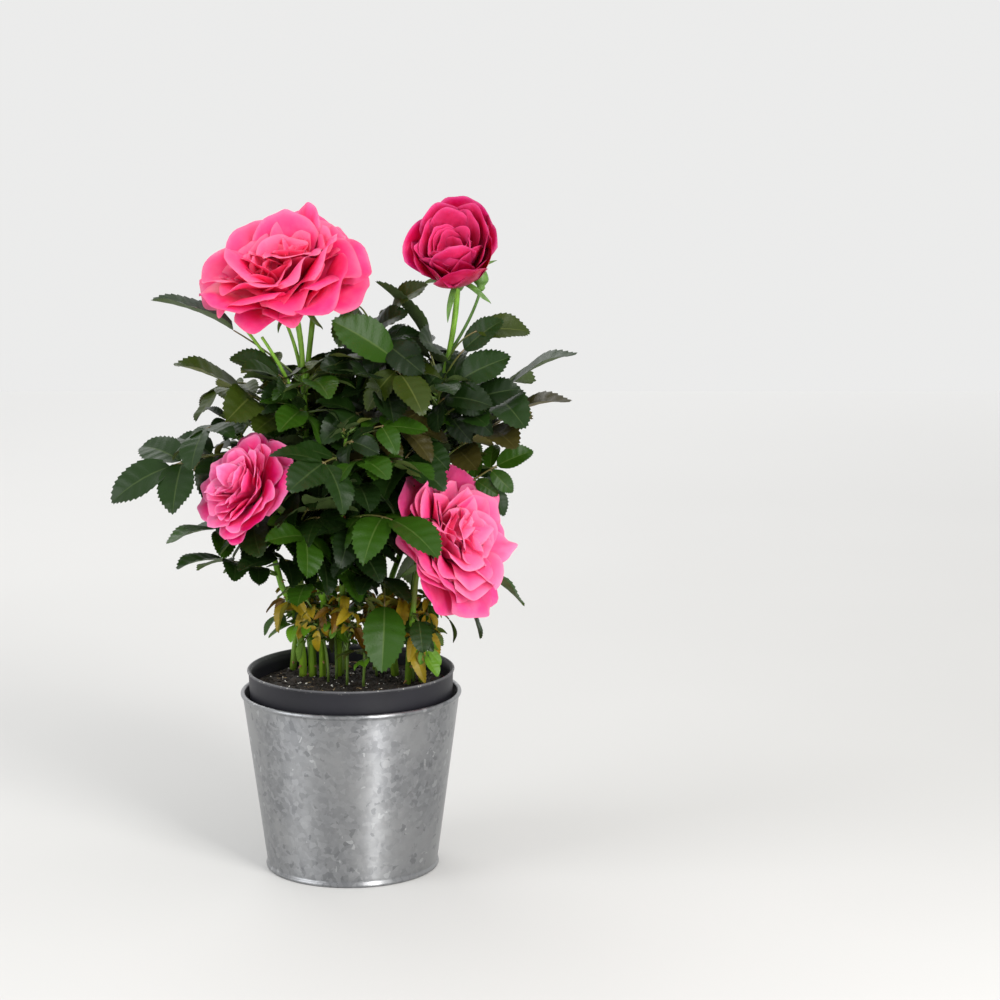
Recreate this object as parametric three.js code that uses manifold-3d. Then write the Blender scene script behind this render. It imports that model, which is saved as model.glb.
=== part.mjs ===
// A rose bush in flower. Its canes grow in a plastic nursery pot that stands inside a
// galvanised pot. Units are millimetres and +Z is up. The origin is the centre of the
// galvanised pot's flat underside, +X is the right of the plant and -Y is its front.
import * as THREE from "three";
import { mergeVertices } from "three/addons/utils/BufferGeometryUtils.js";
import Module from "manifold-3d";

const wasm = await Module();
wasm.setup();

// Driving sizes
const CLEARANCE = 0.3;
const POT_SEGMENTS = 32;
const ZINC = { rimRadius: 64, footRadius: 50, height: 104.5, wall: 1.1, bead: 1.25, floor: 1.4 };
const NURSERY = {
  rimRadius: 60, rimHeight: 117.5, collarRadius: 59.2, collarFoot: 96,
  bodyRadius: 56, footRadius: 43, wall: 1.5, floor: 1.6,
};
const COLLAR_TAPER = 0.8;
const SOIL_TOP = 107.7;
const CANE_FOOT = SOIL_TOP + CLEARANCE;
const LEAF_THICKNESS = 1.0;
const PETAL_THICKNESS = 1.1;
const LEAF_FOLD = 0.26;
const LEAF_ARCH = 0.05;
const LEAF_BREADTH = 0.34;
const LEAF_CORNERS = [0.28, 0.66];
const LEAF_WIDEST = 0.42;
const PAIR_WAY = { ahead: 0.38, aside: 0.92, down: 0.35 };
const RACHIS_RADIUS = 0.85;
const SLIVERS = [0.02, 0.03, 0.045, 0.06, 0.01, 0.08];
const GOLDEN_ANGLE = 137.5;

// How often a leaf or twig that would touch something is tried again
const NAMED_TRIES = 16;
const TWIG_TRIES = 12;
const FILL_TRIES = 60;
const LEAF_CLEAR_OF_SOIL = 12;

// Seeds: each kind of piece has its own range, each shoot its thousand and each place its own.
const FIRST_SEED = { named: 1, stemLeaf: 100000, twigLeaf: 200000, twig: 500000 };
const seedOf = (kind, number, place) => FIRST_SEED[kind] + 1000 * number + place;

// The crown keeps inside this ellipsoid, apart from the leaves that are named one by one.
const CROWN = { centre: [0, 6, 232], reach: [98, 108, 94] };
const CROWN_DEPTH = 180;
const FILL_LEAF = { lowestClimb: -50, highestClimb: -8, length: [54, 72], arch: [8, 15] };

// A cane goes from its foot on the soil over its knee to the joint. There the mass of
// leaves begins, on a stem that goes on over its bend to its tip. Named leaves give the
// crown its outline: "at" is the place along the stem and "tip" is the end of the leaf.
const SHOOTS = [
  {
    name: "left", foot: [-29, 15], knee: [-27, 12, 138], joint: [-40, 4, 165],
    bend: [-52, 8, 212], tip: [-64, 6, 256], girth: [2.3, 1.8, 1.1], turn: 200, leaves: 3, twigs: 1,
    named: [
      { at: 0.84, tip: [-135, -20, 219], arch: 11, leaflets: 5, roll: 0.6 },
      { at: 0.3, tip: [-103, -25, 197], arch: 6, leaflets: 5 },
      { at: 0.06, tip: [-96, -35, 183], arch: 6, leaflets: 5 },
      { at: 0.62, tip: [-104, 12, 252], arch: 8, leaflets: 5 },
    ],
  },
  {
    name: "front_left", foot: [-17, 10], knee: [-17, 4, 138], joint: [-15, -6, 158],
    bend: [-22, -15, 186], tip: [-34, -21, 209], girth: [2.0, 1.8, 1.5], turn: 250, leaves: 3, twigs: 0,
    named: [
      { at: 0.25, tip: [-59, -52, 184], arch: 9, leaflets: 5 },
      { at: 0.8, tip: [-3, -62, 232], arch: 8, leaflets: 3 },
      { at: 0.08, tip: [-27, -56, 166], arch: 9, leaflets: 5 },
      { at: 0.03, tip: [-78, -37, 163], arch: 8, leaflets: 3 },
    ],
  },
  {
    name: "top_left", foot: [-23.4, 16], knee: [-23.4, 13, 140], joint: [-22, 10, 166],
    bend: [-24, 6, 230], tip: [-26, 2, 292], girth: [2.5, 2.0, 1.5], turn: 90, leaves: 5, twigs: 1,
    named: [
      { at: 0.93, tip: [-110, -5, 334], arch: 6, leaflets: 1 },
      { at: 0.68, tip: [-101, -15, 292], arch: 5, leaflets: 5, roll: 0.4 },
      { at: 0.8, tip: [-58, -34, 296], arch: 7, leaflets: 5, roll: 0.5 },
      { at: 0.9, tip: [8, -30, 302], arch: 8, leaflets: 5 },
    ],
  },
  {
    name: "centre", foot: [-8, 16], knee: [-8, 8, 138], joint: [-4, -8, 162],
    bend: [-4, -20, 212], tip: [0, -30, 258], girth: [2.1, 1.8, 1.0], turn: 30, leaves: 6, twigs: 1,
    named: [
      { at: 0.45, tip: [58, -80, 210], arch: 12, leaflets: 5 },
      { at: 0.75, tip: [50, -66, 240], arch: 8, leaflets: 5 },
      { at: 0.06, tip: [52, -50, 170], arch: 9, leaflets: 5 },
      { at: 0.55, tip: [-6, -84, 208], arch: 9, leaflets: 5 },
    ],
  },
  {
    name: "top_centre", foot: [25, 17], knee: [22, 15, 140], joint: [19, 12, 168],
    bend: [15, 14, 240], tip: [16, 12, 310], girth: [2.4, 1.9, 1.1], turn: 0, leaves: 6, twigs: 1,
    named: [
      { at: 0.9, tip: [44, -45, 272], arch: 9, leaflets: 5, roll: -0.4 },
      { at: 0.97, tip: [-4, -18, 300], arch: 22, leaflets: 1 },
      { at: 0.94, tip: [44, -26, 292], arch: 14, leaflets: 3, roll: -0.9 },
      { at: 0.74, tip: [24, -44, 272], arch: 12, leaflets: 3 },
      { at: 0.03, tip: [20, -47, 126], arch: 12, leaflets: 1 },
    ],
  },
  {
    name: "top_right", foot: [34, 8], knee: [36, 7, 136], joint: [36.5, 8, 164],
    bend: [45, 5, 226], tip: [54, 0, 286], girth: [2.5, 2.0, 1.5], turn: 120, leaves: 5, twigs: 1,
    named: [
      { at: 0.88, tip: [106, -2, 313], arch: 17, leaflets: 5, roll: -0.8 },
      { at: 0.7, tip: [130, -10, 303], arch: 4, leaflets: 5 },
      { at: 0.55, tip: [127, -12, 276], arch: 7, leaflets: 5 },
      { at: 0.9, tip: [16, -8, 336], arch: 8, leaflets: 3 },
      { at: 0.93, tip: [94, -16, 297], arch: 14, leaflets: 3, roll: -0.9 },
      { at: 0.8, tip: [82, -34, 276], arch: 14, leaflets: 3, roll: -0.6 },
    ],
  },
  {
    name: "right", foot: [41, 1], knee: [41, 3, 138], joint: [47, 9, 164],
    bend: [56, 14, 200], tip: [68, 12, 232], girth: [2.1, 1.7, 1.0], turn: 60, leaves: 4, twigs: 0,
    named: [
      { at: 0.8, tip: [102, 4, 246], arch: 5, leaflets: 5, roll: -0.9 },
      { at: 0.12, tip: [101, 4, 153], arch: 8, leaflets: 3 },
      { at: 0.03, tip: [76, 10, 132], arch: 8, leaflets: 3 },
    ],
  },
  {
    name: "front_right", foot: [33, -4], knee: [34, -7, 132], joint: [36, -9, 148],
    bend: [37, -10, 158], tip: [38, -10, 168], girth: [1.9, 1.7, 1.5], turn: 330, leaves: 0, twigs: 0,
    named: [
      { at: 0.1, tip: [43, -44, 136], arch: 9, leaflets: 1 },
    ],
  },
  {
    name: "back_left", foot: [-36, 30], knee: [-33, 34, 138], joint: [-31, 38, 162],
    bend: [-42, 50, 220], tip: [-52, 56, 276], girth: [2.0, 1.8, 1.0], turn: 150,
    leaves: 6, twigs: 2, named: [],
  },
  {
    name: "back", foot: [-5, 33], knee: [-6, 37, 138], joint: [-3, 43, 164],
    bend: [2, 56, 225], tip: [4, 62, 286], girth: [2.2, 1.9, 1.0], turn: 45,
    leaves: 6, twigs: 2, named: [],
  },
  {
    name: "back_right", foot: [13, 32], knee: [15, 36, 138], joint: [23, 40, 164],
    bend: [44, 50, 220], tip: [58, 52, 274], girth: [2.1, 1.8, 1.0], turn: 0,
    leaves: 6, twigs: 2, named: [],
  },
];

// Each bloom stands on its own stalk, which starts on the tip of its shoot's stem. Its
// petals stand in whorls: "lean" is their angle from the bloom's axis at foot and rim, and
// every second petal leans out further by the bloom's "stagger", to lie over its neighbours.
const BLOOMS = [
  {
    name: "bloom_top_left", shoot: "top_left", hip: [-31, 2, 329], axis: [-0.22, -0.47, 0.85],
    stalkRadius: 1.5, seed: 5, stagger: 8, sepal: 22, coreHeight: 15,
    whorls: [
      {
        petals: 6, turn: 20, start: 5, lift: 2, length: 54, width: 29,
        lean: [58, 78], cup: 60, ruffle: 3, cells: 3,
      },
      {
        petals: 6, turn: 50, start: 4, lift: 7, length: 47, width: 25,
        lean: [42, 62], cup: 38, ruffle: 3, cells: 2,
      },
      {
        petals: 4, turn: 15, start: 3, lift: 11, length: 31, width: 16,
        lean: [16, 30], cup: 15, ruffle: 2, cells: 2,
      },
    ],
  },
  {
    name: "bloom_top_right", shoot: "top_right", hip: [62.5, -1, 342], axis: [-0.12, -0.66, 0.74],
    stalkRadius: 1.5, seed: 9, stagger: 4, sepal: 22, coreHeight: 14,
    whorls: [
      {
        petals: 5, turn: 0, start: 5, lift: 1, length: 48, width: 23,
        lean: [76, 0], cup: 31, ruffle: 1, cells: 3,
      },
      {
        petals: 4, turn: 45, start: 4, lift: 6, length: 41, width: 19,
        lean: [56, -4], cup: 22, ruffle: 1, cells: 3,
      },
      {
        petals: 3, turn: 12, start: 3, lift: 11, length: 28, width: 10,
        lean: [24, -6], cup: 10, ruffle: 0, cells: 2,
      },
    ],
  },
  {
    name: "bloom_left", shoot: "front_left", hip: [-47, -29, 221], axis: [-0.66, -0.5, 0.56],
    stalkRadius: 1.4, seed: 21, stagger: 8, sepal: 17, coreHeight: 13,
    whorls: [
      {
        petals: 6, turn: 0, start: 5, lift: 2, length: 36, width: 20,
        lean: [64, 84], cup: 34, ruffle: 1, cells: 3,
      },
      {
        petals: 6, turn: 30, start: 4, lift: 6, length: 30, width: 15,
        lean: [44, 58], cup: 24, ruffle: 1, cells: 2,
      },
      {
        petals: 4, turn: 8, start: 3, lift: 10, length: 20, width: 11,
        lean: [16, 28], cup: 12, ruffle: 1, cells: 2,
      },
    ],
  },
  {
    name: "bloom_right", shoot: "front_right", hip: [46, -15, 187], axis: [0.78, -0.5, 0.37],
    stalkRadius: 1.5, seed: 34, stagger: 8, sepal: 20, coreHeight: 14,
    whorls: [
      {
        petals: 6, turn: 30, start: 5, lift: 2, length: 47, width: 25,
        lean: [60, 82], cup: 46, ruffle: 3, cells: 3,
      },
      {
        petals: 6, turn: 0, start: 4, lift: 7, length: 37, width: 19,
        lean: [42, 58], cup: 28, ruffle: 3, cells: 2,
      },
      {
        petals: 4, turn: 25, start: 3, lift: 11, length: 26, width: 13,
        lean: [14, 26], cup: 13, ruffle: 2, cells: 2,
      },
    ],
  },
];
const BUD = { at: 0.22, bend: [70, 4, 318], tip: [76, 1, 333], radius: 4.6, length: 16 };
const CUT_STUB = { at: 0.86, tip: [-20, 4, 320], radius: 1.5 };

// A seeded run of numbers from 0 to 1
function seeded(seed) {
  let state = seed >>> 0;
  return () => {
    state = (state + 0x6d2b79f5) >>> 0;
    let mixed = state;
    mixed = Math.imul(mixed ^ (mixed >>> 15), mixed | 1);
    mixed ^= mixed + Math.imul(mixed ^ (mixed >>> 7), mixed | 61);
    return ((mixed ^ (mixed >>> 14)) >>> 0) / 4294967296;
  };
}

const vector = (list) => new THREE.Vector3(...list);
const mix = (a, b, t) => a + (b - a) * t;
const UP = new THREE.Vector3(0, 0, 1);

// Turns a closed geometry into a solid, with its faces pointing out.
function solid(geometry) {
  geometry.deleteAttribute("normal");
  geometry.deleteAttribute("uv");
  const merged = mergeVertices(geometry, 1e-4);
  const position = merged.getAttribute("position");
  const corners = [];
  let volume = 0;
  const [a, b, c] = [new THREE.Vector3(), new THREE.Vector3(), new THREE.Vector3()];
  for (let i = 0; i < merged.index.count; i += 3) {
    const [ia, ib, ic] = [0, 1, 2].map((k) => merged.index.getX(i + k));
    if (ia === ib || ib === ic || ic === ia) continue;
    corners.push([ia, ib, ic]);
    a.fromBufferAttribute(position, ia);
    b.fromBufferAttribute(position, ib);
    c.fromBufferAttribute(position, ic);
    volume += a.dot(b.cross(c));
  }
  const triangles = corners.flatMap(([ia, ib, ic]) => (volume < 0 ? [ia, ic, ib] : [ia, ib, ic]));
  return new wasm.Manifold(new wasm.Mesh({
    numProp: 3,
    vertProperties: new Float32Array(position.array),
    triVerts: new Uint32Array(triangles),
  }));
}

// Builds a closed geometry from a list of points and of faces with three or four corners.
function facets(points, faces) {
  const geometry = new THREE.BufferGeometry();
  const index = faces.flatMap((f) => (f.length === 4 ? [f[0], f[1], f[2], f[0], f[2], f[3]] : f));
  const numbers = points.flatMap((point) => point.toArray());
  geometry.setAttribute("position", new THREE.Float32BufferAttribute(numbers, 3));
  geometry.setIndex(index);
  return geometry;
}

// A limb with straight sides: a ring of corners round each point of its path.
function limb(path, radii, sides, flatFoot = false) {
  const chord = path[path.length - 1].clone().sub(path[0]).normalize();
  const reference = Math.abs(chord.z) > 0.6 ? new THREE.Vector3(1, 0, 0) : UP;
  const points = [];
  path.forEach((centre, i) => {
    const ahead = path[Math.min(i + 1, path.length - 1)];
    const behind = path[Math.max(i - 1, 0)];
    const along = flatFoot && i === 0 ? UP.clone() : ahead.clone().sub(behind).normalize();
    const first = reference.clone().addScaledVector(along, -reference.dot(along)).normalize();
    const second = along.clone().cross(first);
    for (let k = 0; k < sides; k += 1) {
      const angle = (2 * Math.PI * k) / sides;
      const corner = centre.clone().addScaledVector(first, radii[i] * Math.cos(angle));
      points.push(corner.addScaledVector(second, radii[i] * Math.sin(angle)));
    }
  });
  const faces = [];
  const last = (path.length - 1) * sides;
  for (let i = 0; i < path.length - 1; i += 1) {
    for (let k = 0; k < sides; k += 1) {
      const next = (k + 1) % sides;
      faces.push([i * sides + k, i * sides + next, (i + 1) * sides + next, (i + 1) * sides + k]);
    }
  }
  for (let k = 1; k < sides - 1; k += 1) {
    faces.push([0, k + 1, k]);
    faces.push([last, last + k, last + k + 1]);
  }
  return facets(points, faces);
}

const bow = (foot, bend, tip) => new THREE.QuadraticBezierCurve3(foot, bend, tip);

// A limb that follows a bow and tapers from one radius to the other.
function bowedLimb(curve, startRadius, endRadius, steps, sides, flatFoot) {
  const path = [];
  const radii = [];
  for (let i = 0; i <= steps; i += 1) {
    path.push(curve.getPoint(i / steps));
    radii.push(mix(startRadius, endRadius, i / steps));
  }
  return limb(path, radii, sides, flatFoot);
}

// A thin lens: two fans from its upper and lower middle to the rim that they share
function lens(rim, upper, lower) {
  const points = [...rim, upper, lower];
  const faces = [];
  for (let k = 0; k < rim.length; k += 1) {
    const next = (k + 1) % rim.length;
    faces.push([k, next, rim.length], [next, k, rim.length + 1]);
  }
  return facets(points, faces);
}

// Half the breadth of a leaflet at the place u along it, as a part of its widest
const outline = (u) => Math.pow(u / LEAF_WIDEST, 0.62) * Math.pow((1 - u) / (1 - LEAF_WIDEST), 0.86);

// A leaflet or sepal is a lens that is folded up along its midrib and a little arched.
function leaflet(base, direction, up, length, halfWidth, places) {
  const side = direction.clone().cross(up).normalize();
  const normal = side.clone().cross(direction);
  const at = (u, hand, lift) => {
    const breadth = Math.abs(hand) * halfWidth * outline(u);
    const rise = LEAF_FOLD * breadth + LEAF_ARCH * length * 4 * u * (1 - u) + lift;
    return base.clone().addScaledVector(direction, length * u).addScaledVector(side, hand * breadth)
      .addScaledVector(normal, rise);
  };
  const left = places.map((u) => at(u, -1, 0));
  const right = places.map((u) => at(u, 1, 0)).reverse();
  const half = LEAF_THICKNESS / 2;
  const rim = [at(0, 0, 0), ...left, at(1, 0, 0), ...right];
  return lens(rim, at(LEAF_WIDEST, 0, half), at(LEAF_WIDEST, 0, -half));
}

// Where the pairs of leaflets stand along the rachis, and how long they are, as parts of
// the leaf's length from root to tip
const LEAF_PLANS = {
  1: { pairs: [], end: 0.45 },
  3: { pairs: [{ s: 0.32, size: 0.46 }], end: 0.46 },
  5: { pairs: [{ s: 0.24, size: 0.33 }, { s: 0.45, size: 0.37 }], end: 0.58 },
};

// A compound leaf arches from its root to its tip, with pairs of leaflets and one at the end.
function leafSolid({ root, tip, arch, leaflets, roll }) {
  const plan = LEAF_PLANS[leaflets];
  const chord = tip.clone().sub(root);
  const length = chord.length();
  const forward = chord.clone().normalize();
  const level = new THREE.Vector3(forward.y, -forward.x, 0).normalize();
  const above = level.clone().cross(forward);
  const side = level.clone().multiplyScalar(Math.cos(roll)).addScaledVector(above, Math.sin(roll));
  const up = side.clone().cross(forward);
  const spine = (s) => root.clone().addScaledVector(chord, s).addScaledVector(up, arch * 4 * s * (1 - s));
  const heading = (s) => chord.clone().addScaledVector(up, arch * 4 * (1 - 2 * s)).normalize();
  const stations = [0, plan.end / 2, plan.end + 0.03];
  const radii = [1.25, 1, 0.75].map((part) => part * RACHIS_RADIUS);
  const pieces = [solid(limb(stations.map(spine), radii, 3))];
  const endBase = spine(plan.end);
  const endWay = tip.clone().sub(endBase);
  const endLength = endWay.length();
  const addLeaflet = (base, way, size) => {
    pieces.push(solid(leaflet(base, way.normalize(), up, size, size * LEAF_BREADTH, LEAF_CORNERS)));
  };
  addLeaflet(endBase, endWay, endLength);
  for (const { s, size } of plan.pairs) {
    for (const hand of [-1, 1]) {
      const way = heading(s).multiplyScalar(PAIR_WAY.ahead).addScaledVector(side, hand * PAIR_WAY.aside);
      addLeaflet(spine(s), way.addScaledVector(up, -PAIR_WAY.down), size * length);
    }
  }
  return wasm.Manifold.union(pieces);
}

// A petal as a function of the place across it (-1 to 1) and along it (0 to 1). It leans
// out from the bloom's axis, is cupped across and waves towards its rim.
function petalPoint(petal, across, along, lift) {
  const reach = along * (1 - 0.12 * across * across);
  const foot = THREE.MathUtils.degToRad(petal.lean[0]);
  const turn = THREE.MathUtils.degToRad(petal.lean[1]) - foot;
  const lean = foot + turn * reach;
  const out = petal.start + (petal.length * (Math.cos(foot) - Math.cos(lean))) / turn;
  const rise = petal.lift + (petal.length * (Math.sin(lean) - Math.sin(foot))) / turn;
  const breadth = petal.width * 1.37 * Math.pow(along, 0.7) * Math.sqrt(1 - 0.88 * Math.pow(along, 4));
  const offset = across * breadth;
  const wave = petal.ruffle * along * along * Math.sin(3.2 * across + petal.phase);
  const depth = (offset * offset) / (2 * petal.cup) + wave + lift;
  const radius = out - Math.cos(lean) * depth;
  const height = rise + Math.sin(lean) * depth;
  const [cos, sin] = [Math.cos(petal.azimuth), Math.sin(petal.azimuth)];
  return new THREE.Vector3(radius * cos - offset * sin, radius * sin + offset * cos, height);
}

// The petal's solid is a lens over a grid: the rim is shared and the inner points are
// doubled. Each cell is split along the diagonal that keeps clear of the rim's corners.
function petalSolid(petal, columns, rows) {
  const half = PETAL_THICKNESS / 2;
  const points = [];
  const upper = [];
  const lower = [];
  for (let row = 0; row <= rows; row += 1) {
    for (let column = 0; column <= columns; column += 1) {
      const across = (2 * column) / columns - 1;
      const along = mix(0.03, 1, row / rows);
      const rim = row === 0 || row === rows || column === 0 || column === columns;
      upper.push(points.length);
      points.push(petalPoint(petal, across, along, rim ? 0 : half));
      lower.push(rim ? points.length - 1 : points.length);
      if (!rim) points.push(petalPoint(petal, across, along, -half));
    }
  }
  const faces = [];
  for (let row = 0; row < rows; row += 1) {
    for (let column = 0; column < columns; column += 1) {
      const corner = row * (columns + 1) + column;
      const [a, b, c, d] = [corner, corner + 1, corner + columns + 2, corner + columns + 1];
      const quad = (row < rows / 2) === (column < columns / 2) ? [a, b, c, d] : [b, c, d, a];
      const [first, second, third, fourth] = quad;
      faces.push([first, second, third, fourth].map((k) => upper[k]));
      faces.push([first, fourth, third, second].map((k) => lower[k]));
    }
  }
  return solid(facets(points, faces));
}

// Puts a profile of radius and height pairs round the Z axis.
function turned(profile, segments) {
  const geometry = new THREE.LatheGeometry(profile.map(([r, z]) => new THREE.Vector2(r, z)), segments);
  return geometry.rotateX(Math.PI / 2);
}

function arc(centreRadius, centreHeight, radius, fromDegrees, toDegrees, steps) {
  const points = [];
  for (let i = 0; i <= steps; i += 1) {
    const angle = THREE.MathUtils.degToRad(mix(fromDegrees, toDegrees, i / steps));
    points.push([centreRadius + radius * Math.cos(angle), centreHeight + radius * Math.sin(angle)]);
  }
  return points;
}

// The galvanised pot: a tapered wall with a rolled bead at the rim and a rolled foot
function zincPot() {
  const beadRadius = ZINC.rimRadius - ZINC.bead;
  const beadHeight = ZINC.height - ZINC.bead;
  const wallTop = beadHeight - ZINC.bead;
  const foot = ZINC.footRadius;
  return turned([
    [0, 0], [foot - 0.8, 0], [foot + 0.3, 0.7], [foot + 0.5, 2], [foot, 3.2], [foot - 0.7, 4], [foot, 5.4],
    [beadRadius, wallTop],
    ...arc(beadRadius, beadHeight, ZINC.bead, -60, 180, 5),
    [beadRadius - ZINC.wall, wallTop], [foot - ZINC.wall, 5.4], [foot - ZINC.wall - 0.6, ZINC.floor],
    [0, ZINC.floor],
  ], POT_SEGMENTS);
}

const nurseryFoot = ZINC.floor + CLEARANCE;

// The nursery pot: a tapered body, a step out to its collar and a small lip
function nurseryPot() {
  const { rimRadius, rimHeight, collarRadius, collarFoot, bodyRadius, footRadius, wall, floor } = NURSERY;
  const outside = [
    [0, nurseryFoot], [footRadius, nurseryFoot], [bodyRadius, collarFoot - 2],
    [collarRadius - COLLAR_TAPER, collarFoot], [collarRadius, rimHeight - 1.6],
    [rimRadius, rimHeight - 1.2], [rimRadius, rimHeight - 0.3], [rimRadius - 0.4, rimHeight],
  ];
  const inside = [
    [collarRadius - wall, rimHeight], [collarRadius - wall - COLLAR_TAPER, collarFoot + 1],
    [bodyRadius - wall, collarFoot - 3], [footRadius - wall, nurseryFoot + floor], [0, nurseryFoot + floor],
  ];
  return turned([...outside, ...inside], POT_SEGMENTS);
}

// The soil fills the nursery pot up to its top, clear of the wall.
function soilPlug() {
  const { rimHeight, collarRadius, collarFoot, bodyRadius, footRadius, wall, floor } = NURSERY;
  const inset = wall + CLEARANCE + 0.1;
  const bottom = nurseryFoot + floor + CLEARANCE;
  const top = collarRadius - inset - (COLLAR_TAPER * (rimHeight - SOIL_TOP)) / (rimHeight - collarFoot);
  return turned([
    [0, bottom], [footRadius - inset, bottom], [bodyRadius - inset, collarFoot - 3],
    [collarRadius - inset - COLLAR_TAPER, collarFoot + 1], [top, SOIL_TOP], [0, SOIL_TOP],
  ], POT_SEGMENTS);
}

// Everything that has its place already, with its box, so that what comes next stays clear
const placed = [];

function remember(shape, owner) {
  placed.push({ shape, owner, box: shape.boundingBox() });
}

function isClear(shape, owner) {
  const box = shape.boundingBox();
  return placed.every((other) => {
    if (other.owner === owner) return true;
    const apart = [0, 1, 2].some((k) => (
      box.min[k] - CLEARANCE > other.box.max[k] || other.box.min[k] - CLEARANCE > box.max[k]));
    return apart || shape.minGap(other.shape, 2 * CLEARANCE) > CLEARANCE;
  });
}

// True where a fused shape pinches itself: an edge that more than two triangles share, once
// corners on the same spot count as one
function pinches(shape) {
  const { vertProperties, triVerts } = shape.getMesh();
  const spots = [...triVerts].map((corner) => (
    [0, 1, 2].map((k) => vertProperties[3 * corner + k].toFixed(3)).join()));
  const uses = new Map();
  for (let k = 0; k < spots.length; k += 3) {
    const triangle = spots.slice(k, k + 3);
    if (new Set(triangle).size < 3) continue;
    triangle.forEach((spot, corner) => {
      const edge = [spot, triangle[(corner + 1) % 3]].sort().join(" ");
      uses.set(edge, (uses.get(edge) ?? 0) + 1);
    });
  }
  return [...uses.values()].some((count) => count !== 2);
}

// Fuses pieces to one body, fills its sealed hollows and drops loose scraps and slivers.
// The result is null where no tolerance gives a body that is sound.
function fuse(pieces) {
  const joined = wasm.Manifold.union(pieces);
  for (const sliver of SLIVERS) {
    const bodies = joined.simplify(sliver).decompose();
    const body = bodies.reduce((best, other) => (other.volume() > best.volume() ? other : best));
    if (!pinches(body)) return body;
  }
  return null;
}

const stemOwner = (shoot) => `stem of ${shoot.name}`;
const plant = new THREE.Group();

function addMesh(name, shape, colour, roughness, metalness) {
  const mesh = shape.getMesh();
  const geometry = new THREE.BufferGeometry();
  geometry.setAttribute("position", new THREE.BufferAttribute(new Float32Array(mesh.vertProperties), 3));
  geometry.setIndex(new THREE.BufferAttribute(new Uint32Array(mesh.triVerts), 1));
  geometry.computeVertexNormals();
  const material = new THREE.MeshStandardMaterial({ color: colour, roughness, metalness });
  const part = new THREE.Mesh(geometry, material);
  part.name = name;
  plant.add(part);
}

// Pots and soil
for (const [name, geometry, colour, roughness, metalness] of [
  ["zinc_pot", zincPot(), 0x9aa0a3, 0.45, 1],
  ["nursery_pot", nurseryPot(), 0x3a383c, 0.6, 0],
  ["soil", soilPlug(), 0x2c1e15, 1, 0],
]) {
  const shape = solid(geometry);
  remember(shape, name);
  addMesh(name, shape, colour, roughness, metalness);
}

// Canes and the stems that carry on from them
for (const shoot of SHOOTS) {
  const foot = new THREE.Vector3(shoot.foot[0], shoot.foot[1], CANE_FOOT);
  const joint = vector(shoot.joint);
  const cane = solid(bowedLimb(
    bow(foot, vector(shoot.knee), joint), shoot.girth[0], shoot.girth[1], 4, 6, true));
  remember(cane, `cane_${shoot.name}`);
  addMesh(`cane_${shoot.name}`, cane, 0x6f8f3a, 0.55, 0);
  const bend = vector(shoot.bend);
  const start = joint.clone().addScaledVector(bend.clone().sub(joint).normalize(), CLEARANCE + 0.35);
  shoot.stem = bow(start, bend, vector(shoot.tip));
  const stem = solid(bowedLimb(shoot.stem, shoot.girth[1] - 0.1, shoot.girth[2], 5, 5, false));
  shoot.pieces = [stem];
  remember(stem, stemOwner(shoot));
}

// The stub of a stem that was cut off above the top left shoot
{
  const shoot = SHOOTS.find(({ name }) => name === "top_left");
  const path = [shoot.stem.getPoint(CUT_STUB.at), vector(CUT_STUB.tip)];
  const stub = solid(limb(path, [CUT_STUB.radius, CUT_STUB.radius], 6));
  shoot.pieces.push(stub);
  remember(stub, stemOwner(shoot));
}

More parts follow.
